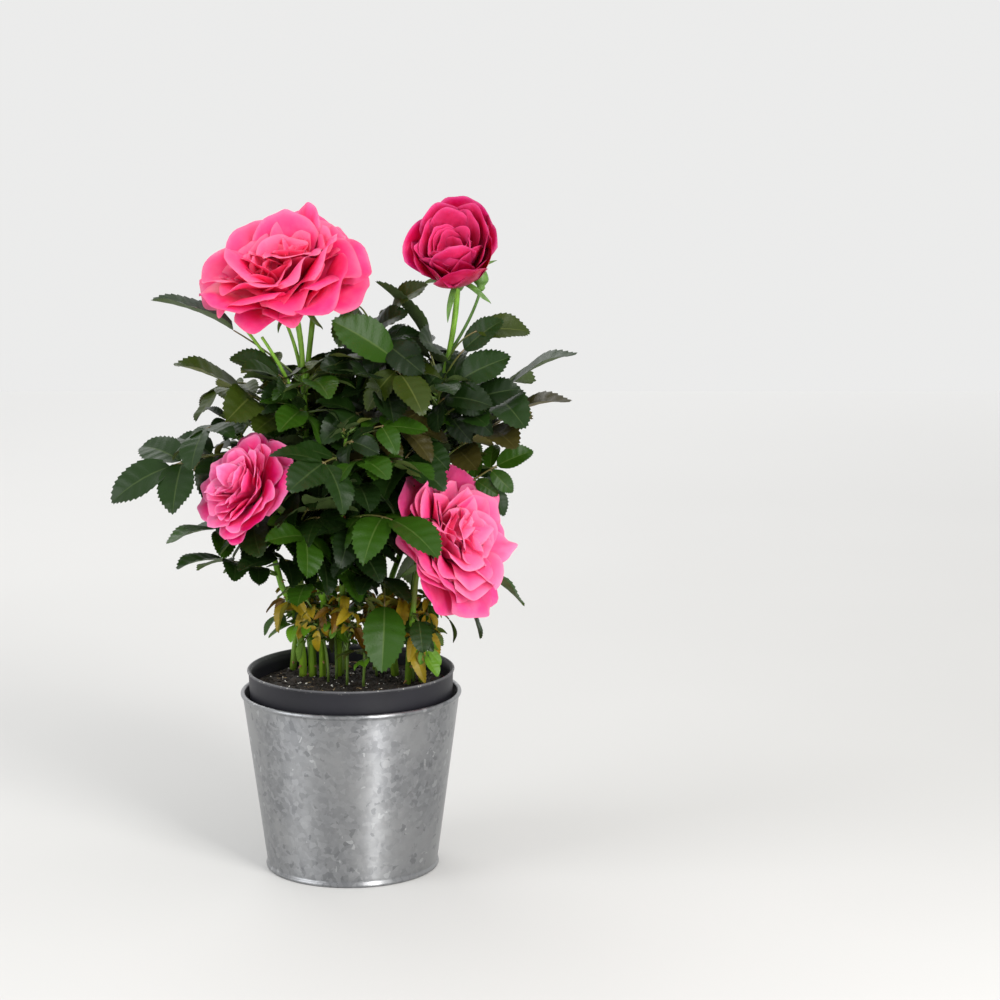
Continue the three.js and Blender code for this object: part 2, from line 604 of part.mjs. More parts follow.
// Blooms: stalk, hip, five sepals and the whorls of petals
function bloomPieces(bloom, seed) {
  const hip = vector(bloom.hip);
  const axis = vector(bloom.axis).normalize();
  const across = new THREE.Vector3(1, 0, 0).addScaledVector(axis, -axis.x).normalize();
  const frame = new THREE.Matrix4().makeBasis(across, axis.clone().cross(across), axis).setPosition(hip);
  const shoot = SHOOTS.find(({ name }) => name === bloom.shoot);
  const tip = vector(shoot.tip);
  const heading = shoot.stem.getTangent(1);
  const foot = tip.clone().addScaledVector(heading, CLEARANCE + 0.05);
  const rise = foot.distanceTo(hip) / 2;
  const below = hip.clone().addScaledVector(axis, -rise);
  const bend = foot.clone().addScaledVector(heading, rise).lerp(below, 0.5);
  const stalk = bow(foot, bend, hip.clone().addScaledVector(axis, 1));
  const pieces = [solid(bowedLimb(stalk, shoot.girth[2], bloom.stalkRadius, 5, 6, false))];
  const core = bloom.coreHeight;
  const calyx = turned([[0, -4], [2, -4], [3.4, -1], [6.5, 3], [6, core / 2], [4.5, core], [0, core]], 8);
  pieces.push(solid(calyx.applyMatrix4(frame)));
  const random = seeded(seed);
  for (let k = 0; k < 5; k += 1) {
    const angle = THREE.MathUtils.degToRad(72 * k + 18 + 20 * random());
    const fall = mix(-0.2, 0.45, random());
    const way = new THREE.Vector3(Math.cos(angle), Math.sin(angle), -fall).normalize();
    const sepal = leaflet(new THREE.Vector3(0, 0, 1), way, UP, bloom.sepal, 3.2, [0.35]);
    pieces.push(solid(sepal.applyMatrix4(frame)));
  }
  for (const whorl of bloom.whorls) {
    for (let k = 0; k < whorl.petals; k += 1) {
      const azimuth = whorl.turn + (360 * k) / whorl.petals + 6 * (random() - 0.5);
      const tilt = (k % 2 === 0 ? 0.5 : -0.5) * bloom.stagger + 3 * (random() - 0.5);
      const petal = {
        ...whorl,
        azimuth: THREE.MathUtils.degToRad(azimuth),
        lean: whorl.lean.map((angle) => angle + tilt),
        length: whorl.length * mix(0.93, 1.07, random()),
        phase: 6.28 * random(),
      };
      pieces.push(petalSolid(petal, whorl.cells, whorl.cells).transform(frame.elements));
    }
  }
  if (bloom.name === "bloom_top_right") {
    const pedicel = bow(stalk.getPoint(BUD.at), vector(BUD.bend), vector(BUD.tip));
    pieces.push(solid(bowedLimb(pedicel, 0.9, 0.9, 4, 5, false)));
    const { radius, length } = BUD;
    const bud = turned([
      [0, -1], [1.6, 0], [radius, length * 0.32], [radius * 0.75, length * 0.62],
      [radius * 0.2, length], [0, length],
    ], 8);
    pieces.push(solid(bud.translate(...BUD.tip)));
  }
  return pieces;
}

for (const bloom of BLOOMS) {
  let shape = null;
  for (let seed = bloom.seed; shape === null; seed += 1) {
    shape = fuse(bloomPieces(bloom, seed));
  }
  remember(shape, bloom.name);
  addMesh(bloom.name, shape, 0xe83a78, 0.6, 0);
}

// A leaf grows where it touches nothing but the stem or twig that carries it. Where it
// would touch something, it is tried again a little turned, shorter or moved.
function grow(shoot, owner, tries, seed, describe) {
  for (let attempt = 0; attempt < tries; attempt += 1) {
    const leaf = describe(seeded(seed + attempt), attempt);
    if (leaf.tip.z < CANE_FOOT + LEAF_CLEAR_OF_SOIL) continue;
    const shape = leafSolid(leaf);
    if (isClear(shape, owner)) {
      shoot.pieces.push(shape);
      remember(shape, "leaf");
      return true;
    }
  }
  return false;
}

const insideCrown = (point) => {
  const [x, y, z] = point.toArray().map((value, k) => (value - CROWN.centre[k]) / CROWN.reach[k]);
  return x * x + y * y + z * z < 1;
};

// A way out of the stem, from its bearing round the stem and its rise above the level
function wayOut(bearing, rise) {
  const [turn, lift] = [bearing, rise].map(THREE.MathUtils.degToRad);
  const level = new THREE.Vector3(Math.cos(turn), Math.sin(turn), 0);
  return level.multiplyScalar(Math.cos(lift)).setZ(Math.sin(lift));
}

// The leaves that give the crown its outline come first, on all shoots.
SHOOTS.forEach((shoot, number) => {
  shoot.named.forEach((plan, place) => {
    const root = shoot.stem.getPoint(plan.at);
    const seed = seedOf("named", number, 40 * place);
    grow(shoot, stemOwner(shoot), NAMED_TRIES, seed, (random, attempt) => {
      const nudge = new THREE.Vector3(random() - 0.5, random() - 0.5, random() - 0.5);
      const tip = vector(plan.tip).addScaledVector(nudge, 2 * attempt);
      const roll = (plan.roll ?? 0) + 0.4 * (random() - 0.5);
      return { root, tip, arch: plan.arch, leaflets: plan.leaflets, roll };
    });
  });
});

// Side twigs stand on the stem by a seeded rule.
SHOOTS.forEach((shoot, number) => {
  shoot.branches = [];
  for (let k = 0; k < shoot.twigs; k += 1) {
    for (let attempt = 0; attempt < TWIG_TRIES; attempt += 1) {
      const random = seeded(seedOf("twig", number, 40 * k) + attempt);
      const foot = shoot.stem.getPoint(mix(0.3, 0.75, (k + random()) / shoot.twigs));
      const way = wayOut(shoot.turn + 180 * k + 60 * (random() - 0.5), mix(25, 50, random()));
      const tip = foot.clone().addScaledVector(way, mix(28, 40, random()));
      const bend = foot.clone().lerp(tip, 0.5).add(new THREE.Vector3(0, 0, -3));
      const curve = bow(foot, bend, tip);
      const twig = solid(bowedLimb(curve, 1.1, 0.9, 2, 3, false));
      if (insideCrown(tip) && isClear(twig, stemOwner(shoot))) {
        const owner = `twig ${number} ${k}`;
        shoot.pieces.push(twig);
        remember(twig, owner);
        shoot.branches.push({ curve, number: k, owner });
        break;
      }
    }
  }
});

// The other leaves fill the crown, one on each shoot in turn, from the top of a stem down.
function fillLeaf(shoot, owner, curve, at, bearing, seed) {
  const root = curve.getPoint(at);
  return grow(shoot, owner, FILL_TRIES, seed, (random, attempt) => {
    const turn = bearing + (24 + 6 * attempt) * (random() - 0.5);
    const droop = mix(FILL_LEAF.lowestClimb, FILL_LEAF.highestClimb, (root.z - CANE_FOOT) / CROWN_DEPTH);
    const climb = droop + 30 * (random() - 0.5);
    const length = mix(...FILL_LEAF.length, random()) * (1 - 0.005 * attempt);
    const tip = root.clone().addScaledVector(wayOut(turn, climb), length);
    if (!insideCrown(tip)) tip.z = 0;
    return { root, tip, arch: mix(...FILL_LEAF.arch, random()), leaflets: 3, roll: 1.2 * (random() - 0.5) };
  });
}

// Where leaves stand on a side twig: the part of its length and the turn from its heading
const TWIG_LEAVES = [[0.97, 0], [0.6, 75], [0.4, -80]];

const MOST_LEAVES = Math.max(...SHOOTS.map(({ leaves }) => leaves));
for (let turn = 0; turn < MOST_LEAVES; turn += 1) {
  SHOOTS.forEach((shoot, number) => {
    if (turn >= shoot.leaves) return;
    const at = 0.96 - (0.86 * turn) / Math.max(shoot.leaves, 4);
    const bearing = shoot.turn + GOLDEN_ANGLE * turn;
    fillLeaf(shoot, stemOwner(shoot), shoot.stem, at, bearing, seedOf("stemLeaf", number, 40 * turn));
  });
}
SHOOTS.forEach((shoot, number) => {
  for (const twig of shoot.branches) {
    const along = twig.curve.getTangent(1);
    const bearing = THREE.MathUtils.radToDeg(Math.atan2(along.y, along.x));
    TWIG_LEAVES.forEach(([at, turn], place) => {
      const seed = seedOf("twigLeaf", number, 100 * twig.number + 30 * place);
      fillLeaf(shoot, twig.owner, twig.curve, at, bearing + turn, seed);
    });
  }
});

// A mass that isn't sound does without its last leaves.
for (const shoot of SHOOTS) {
  let shape = fuse(shoot.pieces);
  while (shape === null) {
    shoot.pieces.pop();
    shape = fuse(shoot.pieces);
  }
  addMesh(`leaves_${shoot.name}`, shape, 0x2f5233, 0.5, 0);
}

export default plant;
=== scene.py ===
# %% [markdown]
# A potted rose bush. The construction model already holds the pots, the canes, the masses
# of leaves and the blooms as plain solids at their real size. This lesson dresses them:
# each plain solid gets a fine surface of its own, grown by the same rule, in the same place.
# The first cell opens that model and keeps its box, because nothing may grow out of it.

# %% Open the construction model
import math

import bpy
import numpy as np
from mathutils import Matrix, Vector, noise
from mathutils.kdtree import KDTree


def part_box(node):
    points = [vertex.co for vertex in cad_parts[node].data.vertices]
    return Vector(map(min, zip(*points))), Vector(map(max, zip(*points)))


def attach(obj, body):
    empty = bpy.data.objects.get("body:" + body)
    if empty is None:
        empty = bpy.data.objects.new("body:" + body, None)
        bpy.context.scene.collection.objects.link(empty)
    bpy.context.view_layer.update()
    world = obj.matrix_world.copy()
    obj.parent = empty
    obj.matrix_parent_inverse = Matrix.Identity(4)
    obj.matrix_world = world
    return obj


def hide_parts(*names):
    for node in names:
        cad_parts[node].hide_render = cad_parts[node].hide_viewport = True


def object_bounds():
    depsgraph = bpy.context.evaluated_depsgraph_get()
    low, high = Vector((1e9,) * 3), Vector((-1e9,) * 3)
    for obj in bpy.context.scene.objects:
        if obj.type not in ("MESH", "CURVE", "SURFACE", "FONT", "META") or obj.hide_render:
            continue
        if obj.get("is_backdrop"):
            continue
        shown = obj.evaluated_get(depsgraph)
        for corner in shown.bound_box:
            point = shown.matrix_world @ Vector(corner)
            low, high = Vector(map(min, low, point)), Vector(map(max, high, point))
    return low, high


MM = 0.001


def in_mm(box):
    return [[value / MM for value in corner] for corner in box]


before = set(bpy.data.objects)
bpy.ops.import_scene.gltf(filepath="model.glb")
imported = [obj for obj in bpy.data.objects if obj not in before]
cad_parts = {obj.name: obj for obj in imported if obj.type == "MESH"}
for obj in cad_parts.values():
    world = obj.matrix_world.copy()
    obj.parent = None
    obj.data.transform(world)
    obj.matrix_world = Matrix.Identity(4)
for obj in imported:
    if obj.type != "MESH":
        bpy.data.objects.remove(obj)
model_box = [list(corner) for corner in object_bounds()]
print("construction nodes:", len(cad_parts))
print("their box in mm:", np.round(in_mm(model_box)).tolist())

# %% [markdown]
# The camera comes first, so that every later step can be judged through it. A photograph
# taken from a step away looks down a little on a table plant. A long lens from 1.6 m keeps
# the pot's sides almost upright, as the photograph does; a wide lens close by would not.

# %% Camera
CAMERA_PLACE = (86.4, -1600, 502)
CAMERA_PITCH = 0.177
LENS = 102


def into_scene(name, data):
    """A new object that carries this data, linked into the scene."""
    made = bpy.data.objects.new(name, data)
    bpy.context.scene.collection.objects.link(made)
    return made


camera = into_scene("camera", bpy.data.cameras.new("camera"))
camera.data.lens = LENS
camera.location = [value * MM for value in CAMERA_PLACE]
camera.rotation_euler = (math.pi / 2 - CAMERA_PITCH, 0, 0)
bpy.context.scene.camera = camera
print("the camera looks down by", round(math.degrees(CAMERA_PITCH), 1), "degrees")

# %% [markdown]
# Studio light. One large soft lamp at the front right shapes the blooms, and a narrow strip
# draws the bright band on the metal pot. A weaker one fills from the left, and a fourth
# comes from above and behind. Area lamps are used because their size gives soft shadows.

# %% Lamps and world
PLANT_MIDDLE = (0, 0, 0.24)
POT_MIDDLE = (0, 0, 0.06)
WHITE = (1, 1, 1)
LAMPS = {
    "key": ((0.75, -1.1, 1.05), PLANT_MIDDLE, (0.5, 0.9), 17, (1, 0.985, 0.96)),
    "strip": ((0.5, -0.85, 0.14), POT_MIDDLE, (0.07, 0.24), 2.6, WHITE),
    "fill": ((-1.3, -0.7, 0.7), PLANT_MIDDLE, (0.9, 1.1), 12, (0.97, 0.985, 1)),
    "back": ((-0.5, 1.1, 1.3), PLANT_MIDDLE, (0.9, 0.7), 6, WHITE),
}
WALL_TINT = (0.95, 0.95, 0.945, 1)
WALL_LIGHT = 0.88

for name, (place, aim, size, watts, tint) in LAMPS.items():
    data = bpy.data.lights.new(name, "AREA")
    data.shape = "RECTANGLE"
    data.size, data.size_y = size
    data.energy = watts
    data.color = tint
    lamp = into_scene(name, data)
    lamp.location = place
    way = np.subtract(aim, place)
    turn = math.atan2(way[1], way[0]) - math.pi / 2
    tilt = math.atan2(-way[2], math.hypot(way[0], way[1]))
    lamp.rotation_euler = (math.pi / 2 - tilt, 0, turn)

world = bpy.data.worlds.new("studio")
world.use_nodes = True
background = world.node_tree.nodes["Background"]
background.inputs["Color"].default_value = WALL_TINT
background.inputs["Strength"].default_value = WALL_LIGHT
bpy.context.scene.world = world
bpy.context.scene.view_settings.view_transform = "Standard"
print("lamps:", list(LAMPS))

# %% [markdown]
# Everything soft or grown is made as a mesh from arrays of points. A batch collects the
# points and faces of many small pieces, because thousands of separate objects would be
# slow. Each batch becomes one object, with a material slot for each finish in it. Each
# point also carries a shade from 0 to 1, which a material can read as an attribute.

# %% Batches of small pieces
QUAD, TRIANGLE = 4, 3


class Batch:
    def __init__(self):
        self.points, self.shades, self.count = [], [], 0
        self.faces = {QUAD: [], TRIANGLE: []}
        self.slots = {QUAD: [], TRIANGLE: []}

    def add(self, points, quads=(), triangles=(), slot=0, shades=0.0):
        """Adds one piece. Its slot is one number, or a row of them for each kind of face."""
        for corners, faces in ((QUAD, quads), (TRIANGLE, triangles)):
            faces = np.asarray(faces, int).reshape(-1, corners)
            self.faces[corners].append(faces + self.count)
            self.slots[corners].append(np.full(len(faces), slot) if np.isscalar(slot) else slot[corners])
        self.points.append(np.asarray(points, float))
        self.shades.append(np.broadcast_to(np.asarray(shades, float), len(points)))
        self.count += len(points)

    def build(self, name, materials, record_slot, nodes, smooth=True):
        """Makes the object, rides it on the body and hides the plain solids it replaces."""
        faces = [face for kind in (QUAD, TRIANGLE) for face in np.concatenate(self.faces[kind]).tolist()]
        mesh = bpy.data.meshes.new(name)
        mesh.from_pydata((np.concatenate(self.points) * MM).tolist(), [], faces)
        slots = np.concatenate(self.slots[QUAD] + self.slots[TRIANGLE]).astype(np.int32)
        mesh.polygons.foreach_set("material_index", slots)
        mesh.polygons.foreach_set("use_smooth", np.full(len(faces), smooth))
        shade = mesh.attributes.new("shade", "FLOAT", "POINT")
        shade.data.foreach_set("value", np.concatenate(self.shades).astype(np.float32))
        for material in materials:
            mesh.materials.append(material)
        mesh.validate()
        piece = into_scene(name, mesh)
        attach(piece, "root")
        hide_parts(*nodes)
        print(name, "faces:", len(faces), "points:", self.count)


# %% [markdown]
# A material is a small tree of nodes. This class holds one tree and its main shader, and
# adds nodes to it one at a time. Each input of a node is either a plain value or the output
# of an earlier node, so that a whole finish can be written down in a few short lines.

# %% A tree of nodes
class MaterialTree:
    def __init__(self, name, **values):
        self.material = bpy.data.materials.new(name)
        self.material.use_nodes = True
        self.tree = self.material.node_tree
        self.shader = self.tree.nodes["Principled BSDF"]
        for socket, value in values.items():
            self.shader.inputs[socket.replace("_", " ")].default_value = value

    def node(self, kind, inputs, output=0, **settings):
        """Adds a node, sets or links its inputs and gives back one output."""
        made = self.tree.nodes.new(f"ShaderNode{kind}")
        for name, value in settings.items():
            setattr(made, name, value)
        for name, value in inputs.items():
            if isinstance(value, bpy.types.NodeSocket):
                self.tree.links.new(value, made.inputs[name])
            else:
                made.inputs[name].default_value = value
        return made.outputs[output]


print("ways to grow a tree:", [way for way in vars(MaterialTree) if way[0] != "_"])

# %% [markdown]
# Noise gives soft clouds, and Voronoi gives cells. A ramp turns such a grey pattern into
# colours, a mask turns it into a share, a blend paints one colour over another by that
# share, and relief makes fine bumps. All patterns go by the place on the piece, so they
# need no image and no unwrapping.

# %% Patterns and colours
class Finish(MaterialTree):
    def place(self, scale=(1, 1, 1)):
        place = self.node("TexCoord", {}, "Object")
        return self.node("Mapping", {"Vector": place, "Scale": scale})

    def part_of_place(self, axis):
        return self.node("SeparateXYZ", {"Vector": self.place()}, axis)

    def shade(self):
        """The shade that a batch stores in its points."""
        return self.node("Attribute", {}, "Fac", attribute_name="shade")

    def noise(self, place, scale, detail=2, rough=0.5, output="Fac"):
        values = {"Vector": place, "Scale": scale, "Detail": detail, "Roughness": rough}
        return self.node("TexNoise", values, output)

    def cells(self, place, scale, output="Distance"):
        return self.node("TexVoronoi", {"Vector": place, "Scale": scale}, output)

    def grey(self, colour):
        return self.node("RGBToBW", {"Color": colour})

    def times(self, first, second):
        return self.node("Math", {0: first, 1: second}, operation="MULTIPLY")

    def ramp(self, pattern, *stops):
        made = self.node("ValToRGB", {"Fac": pattern})
        elements = made.node.color_ramp.elements
        while len(elements) < len(stops):
            elements.new(0.5)
        for element, (position, colour) in zip(elements, stops):
            element.position = position
            element.color = (*colour, 1)
        return made

    def mask(self, pattern, *stops):
        return self.ramp(pattern, *((position, (share,) * 3) for position, share in stops))

    def blend(self, share, under, over):
        return self.node("Mix", {0: share, 6: under, 7: (*over, 1)}, 2, data_type="RGBA")

    def paint(self, colour):
        self.tree.links.new(colour, self.shader.inputs["Base Color"])

    def relief(self, height, depth_mm, strength):
        bump = self.node("Bump", {"Height": height, "Distance": depth_mm * MM, "Strength": strength})
        self.tree.links.new(bump, self.shader.inputs["Normal"])


print("ways to make a finish:", [way for way in vars(Finish) if way[0] != "_"])

# %% [markdown]
# Hot-dipped zinc freezes into crystals, the spangle, so the sheet looks like pale and dark
# flakes a few millimetres wide. Voronoi cells are made for this. Noise bends their edges,
# a larger pattern adds the cloudy patches, and each flake gets a roughness of its own.

# %% Galvanised metal
def galvanised():
    zinc = Finish("galvanised", Metallic=1.0, Anisotropic=0.75, Anisotropic_Rotation=0.25)
    place = zinc.place()
    bend = zinc.noise(place, 150, 3, output="Color")
    bent = zinc.node("Mix", {0: 0.008, 4: place, 5: bend}, 1, data_type="VECTOR")
    flakes = zinc.grey(zinc.cells(bent, 330, "Color"))
    specks = zinc.grey(zinc.cells(bent, 380, "Color"))
    clouds = zinc.noise(place, 26, 6, 0.62)
    scratches = zinc.noise(place, 320, 4)
    base = zinc.ramp(
        flakes,
        (0.15, (0.22, 0.226, 0.237)),
        (0.5, (0.272, 0.278, 0.289)),
        (0.9, (0.34, 0.346, 0.357)),
    )
    colour = zinc.blend(zinc.mask(clouds, (0.40, 0), (0.60, 0.8)), base, (0.345, 0.35, 0.356))
    colour = zinc.blend(zinc.mask(specks, (0.89, 0), (0.93, 0.6)), colour, (0.54, 0.55, 0.56))
    colour = zinc.blend(zinc.mask(specks, (0.12, 0.55), (0.16, 0)), colour, (0.17, 0.175, 0.185))
    colour = zinc.blend(zinc.mask(scratches, (0.6, 0), (0.8, 0.5)), colour, (0.42, 0.43, 0.44))
    zinc.paint(colour)
    rough = zinc.node("MapRange", {"Value": flakes, "To Min": 0.34, "To Max": 0.46})
    zinc.tree.links.new(rough, zinc.shader.inputs["Roughness"])
    zinc.relief(clouds, 0.4, 0.4)
    return zinc.material


galvanised_metal = galvanised()
print("nodes of the galvanised metal:", len(galvanised_metal.node_tree.nodes))

# %% [markdown]
# A pot is a turned shape, so one outline of radius and height pairs, swept round the axis,
# makes all of it. The outline could be a cylinder with loops cut in, but a list of real
# sizes is easier to read. A faint wobble keeps a pot from looking machined.

# %% Turned shapes
AROUND = 160
BULGES = 3
BULGE_RISE = 40


def arc(radius, height, size, start, end, steps):
    """Points of a rolled edge round (radius, height), from one angle to the other."""
    angles = np.radians(np.linspace(start, end, steps + 1))
    return [(radius + size * math.cos(a), height + size * math.sin(a)) for a in angles]


def ring_of(count):
    """The numbers of the points of a ring, and of the point that follows each."""
    row = np.arange(count)
    return row, np.roll(row, -1)


def ring_quads(low, high, count):
    """Quads between two rings, given the number of each ring's first point."""
    row, following = ring_of(count)
    return np.stack([low + row, low + following, high + following, high + row], 1)


def turned(batch, outline, wobble=0.0, around=AROUND):
    """Sweeps the outline round the axis, and closes it with a fan where its radius is 0."""
    outline = np.asarray(outline, float)
    radius, height = outline[:, :1], outline[:, 1:]
    angles = np.linspace(0, 2 * math.pi, around, endpoint=False)
    swept = radius * (1 + wobble * np.sin(BULGES * angles + height / BULGE_RISE))
    points = np.stack([swept * np.cos(angles), swept * np.sin(angles), height + 0 * angles], axis=2)
    row, following = ring_of(around)
    quads, fans = [], []
    for low in range(0, (len(outline) - 1) * around, around):
        high = low + around
        if radius[low // around] == 0:
            fans.append(np.stack([low + 0 * row, high + following, high + row], 1))
        elif radius[high // around] == 0:
            fans.append(np.stack([low + row, low + following, high + 0 * row], 1))
        else:
            quads.append(ring_quads(low, high, around))
    batch.add(points.reshape(-1, 3), np.concatenate(quads), np.concatenate(fans))


def subdivided(outline, step):
    """The same outline with points no further apart than the step."""
    points = [outline[0]]
    for before, after in zip(outline, outline[1:]):
        parts = max(1, math.ceil(math.dist(before, after) / step))
        whole = np.subtract(after, before)
        points += [tuple(before + whole * k / parts) for k in range(1, parts + 1)]
    return points


print("a rolled edge of four points:", np.round(arc(10, 0, 1, 0, 90, 3), 2).tolist())

# %% [markdown]
# The outer pot is sheet metal with a rolled bead at its rim and a rolled foot. Its outline
# runs from the middle of the underside up the outside, over the bead and down the inside.
# Radius and height of the rim come from the construction model, so the two always agree.

# %% The galvanised pot
zinc_high = in_mm(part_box("zinc_pot"))[1]
BEAD = 1.25
WALL = 1.1
FOOT_RADIUS = 50
POT_STEP = 6
bead_radius = zinc_high[0] - BEAD
bead_height = zinc_high[2] - BEAD
underside = [(0, 0.9), (FOOT_RADIUS - 3.2, 0.9), (FOOT_RADIUS - 2.2, 0)]
foot = [*arc(FOOT_RADIUS - 0.9, 1.4, 1.4, -90, 60, 8), (FOOT_RADIUS - 0.5, 3.3), (FOOT_RADIUS - 0.2, 4.1)]
side = [(FOOT_RADIUS, 5.4), (bead_radius - 0.15, bead_height - 2.4), (bead_radius + 0.1, bead_height - 1.5)]
bead = arc(bead_radius, bead_height, BEAD, -70, 200, 14)
inside = [(bead_radius - WALL, bead_height - 1.6), (FOOT_RADIUS - WALL, 5.4)]
bottom = [(FOOT_RADIUS - 1.7, 1.5), (0, 1.5)]
pot = Batch()
turned(pot, subdivided([*underside, *foot, *side, *bead, *inside, *bottom], POT_STEP), wobble=0.0015)
pot.build("galvanised_pot", [galvanised_metal], "galvanised_metal", ["zinc_pot"])

# %% [markdown]
# The inner pot is thin black plastic. Plastic is never one flat black: it is a little
# violet, scuffed paler along its rim, and hard water leaves white specks of lime there.
# The height of a point decides how worn it is, and noise breaks the edge of the wear.

# %% Nursery-pot plastic
WEAR_FROM_MM = 115.2
WEAR_FULL_MM = 117.6


def pot_plastic():
    plastic = Finish("nursery plastic", Roughness=0.5, Specular_IOR_Level=0.32)
    place = plastic.place()
    heights = {"From Min": WEAR_FROM_MM * MM, "From Max": WEAR_FULL_MM * MM}
    wear = plastic.node("MapRange", {"Value": plastic.part_of_place("Z"), **heights})
    patches = plastic.noise(place, 30, 4)
    worn = plastic.times(wear, patches)
    colour = plastic.ramp(patches, (0.3, (0.007, 0.007, 0.010)), (0.7, (0.014, 0.0135, 0.019)))
    colour = plastic.blend(worn, colour, (0.2, 0.2, 0.21))
    specks = plastic.mask(plastic.cells(place, 420), (0.1, 1), (0.24, 0))
    plastic.paint(plastic.blend(plastic.times(specks, worn), colour, (0.78, 0.76, 0.7)))
    plastic.relief(plastic.noise(place, 260, 4), 0.12, 0.4)
    return plastic.material


black_plastic = pot_plastic()
print("the wear begins at", WEAR_FROM_MM, "mm and is full at", WEAR_FULL_MM, "mm")

# %% [markdown]
# The nursery pot is turned as well. It is a thin tapered shell with a straight collar and a
# small round lip. It stands inside the metal pot, and only its collar shows above the bead.

# %% The nursery pot
nursery_low, nursery_high = in_mm(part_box("nursery_pot"))
rim_radius, rim_height, foot_height = nursery_high[0], nursery_high[2], nursery_low[2]
LIP = 0.75
NURSERY_WALL = 1.5
NURSERY_FLOOR = 1.6
COLLAR_FOOT = 96
BODY_RADIUS = 56
BASE_RADIUS = 43
NURSERY_STEP = 5
collar = rim_radius - 0.8
outline = [
    (0, foot_height),
    (BASE_RADIUS, foot_height),
    (BODY_RADIUS, COLLAR_FOOT - 2),
    (collar - 0.8, COLLAR_FOOT),
    (collar, rim_height - 2.2),
    *arc(rim_radius - LIP, rim_height - LIP, LIP, -80, 180, 12),
    (collar - NURSERY_WALL, rim_height - 1.2),
    (collar - NURSERY_WALL - 0.8, COLLAR_FOOT + 1),
    (BODY_RADIUS - NURSERY_WALL, COLLAR_FOOT - 3),
    (BASE_RADIUS - NURSERY_WALL, foot_height + NURSERY_FLOOR),
    (0, foot_height + NURSERY_FLOOR),
]
pot = Batch()
turned(pot, subdivided(outline, NURSERY_STEP), wobble=0.002)
pot.build("nursery_pot_shell", [black_plastic], "pot_plastic", ["nursery_pot"])

# %% [markdown]
# The floor is a plain flat sheet. It is the stage, not a part of the plant, so it is marked
# as such. A studio would hang a paper roll that curves up behind the pot. A flat sheet is
# simpler: its tint grows paler with distance until it equals the light of the world at its
# far edge, so no line shows there.

# %% Floor
FLOOR_SIZE = 4.0


def floor_material():
    paper = Finish("pale floor", Roughness=0.7)
    distance = paper.node("MapRange", {"Value": paper.part_of_place("Y"), "From Max": FLOOR_SIZE / 2})
    tint = paper.ramp(
        distance,
        (0, (0.575, 0.571, 0.561)),
        (0.35, (0.635, 0.631, 0.621)),
        (0.6, (0.71, 0.707, 0.699)),
        (1, (0.897, 0.896, 0.89)),
    )
    mottle = paper.mask(paper.noise(paper.place(), 3), (0.3, 0), (0.7, 0.05))
    paper.paint(paper.blend(mottle, tint, (0.9, 0.9, 0.89)))
    return paper.material


half = FLOOR_SIZE / 2
points = [(-half, -half, 0), (half, -half, 0), (half, half, 0), (-half, half, 0)]
sheet = bpy.data.meshes.new("floor")
sheet.from_pydata(points, [], [(0, 1, 2, 3)])
sheet.materials.append(floor_material())
floor = into_scene("floor", sheet)
floor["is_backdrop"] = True
print("the floor is", FLOOR_SIZE, "m wide")

# %% [markdown]
# The rule that grew the solids is written again here, number for number. A plant made by
# a seeded rule can be grown a second time in finer detail: the same seed gives the same
# run of numbers, so every cane, twig and leaf comes up in its old place.

# %% Seeded numbers
WORD = 0xFFFFFFFF
STEP = 0x6D2B79F5


def seeded(seed):
    """A run of numbers from 0 to 1 that is the same for the same seed."""
    state = seed

    def draw():
        nonlocal state
        state = (state + STEP) & WORD
        mixed = ((state ^ (state >> 15)) * (state | 1)) & WORD
        added = ((mixed ^ (mixed >> 7)) * (mixed | 61)) & WORD
        mixed ^= (mixed + added) & WORD
        return ((mixed ^ (mixed >> 14)) & WORD) / (WORD + 1)

    return draw


FIRST_SEED = {
    "named": 1, "stem_leaf": 100000, "twig_leaf": 200000, "twig": 500000,
    "found": 700000, "facing": 705000, "stem_extra": 710000, "twig_extra": 720000,
    "low": 730000, "weak_shoot": 740000, "low_small": 750000, "young": 760000,
    "petals": 800000, "sepals": 810000, "bud": 815000, "prickles": 900000,
}


def seed_of(kind, number, place):
    return FIRST_SEED[kind] + 1000 * number + place


def draws(kind, number=0):
    return seeded(FIRST_SEED[kind] + number)


first = seeded(1)
print("the first numbers of seed 1:", round(first(), 4), round(first(), 4))

# %% [markdown]
# A plant needs only a little geometry: a mix of two values, the unit of a direction, a
# direction by its angle round the pot, and a line that bows from its foot to its tip. The
# bow is a curve with one bend, which is how a stem grows towards the light.

# %% Lines and directions
def mix(first, second, share):
    return first + (second - first) * share


def unit(way):
    way = np.asarray(way, float)
    return way / np.linalg.norm(way)


def way_round(angle, rise=0.0):
    return np.array([math.cos(angle), math.sin(angle), rise])


def bow(foot, bend, tip):
    """A bent line from foot to tip, as a function of the share along it."""
    foot, bend, tip = (np.asarray(place, float) for place in (foot, bend, tip))
    return lambda t: (1 - t) ** 2 * foot + 2 * t * (1 - t) * bend + t * t * tip


def samples(line, steps):
    return np.array([line(t) for t in np.linspace(0, 1, steps + 1)])


print("the middle of a bow:", bow((0, 0, 0), (0, 10, 10), (0, 0, 20))(0.5).tolist())

# %% [markdown]
# The shoots are the plant's driving sizes, in millimetres. A cane goes from its foot over
# its knee to its joint. From there its leafy stem goes over a bend to its tip. Three girths
# follow, then the angle of the first leaf and the numbers of filling leaves and twigs.
# They are the construction's own numbers: the front shoots follow the photograph, and
# those at the back were chosen so that the crown is full from all sides.

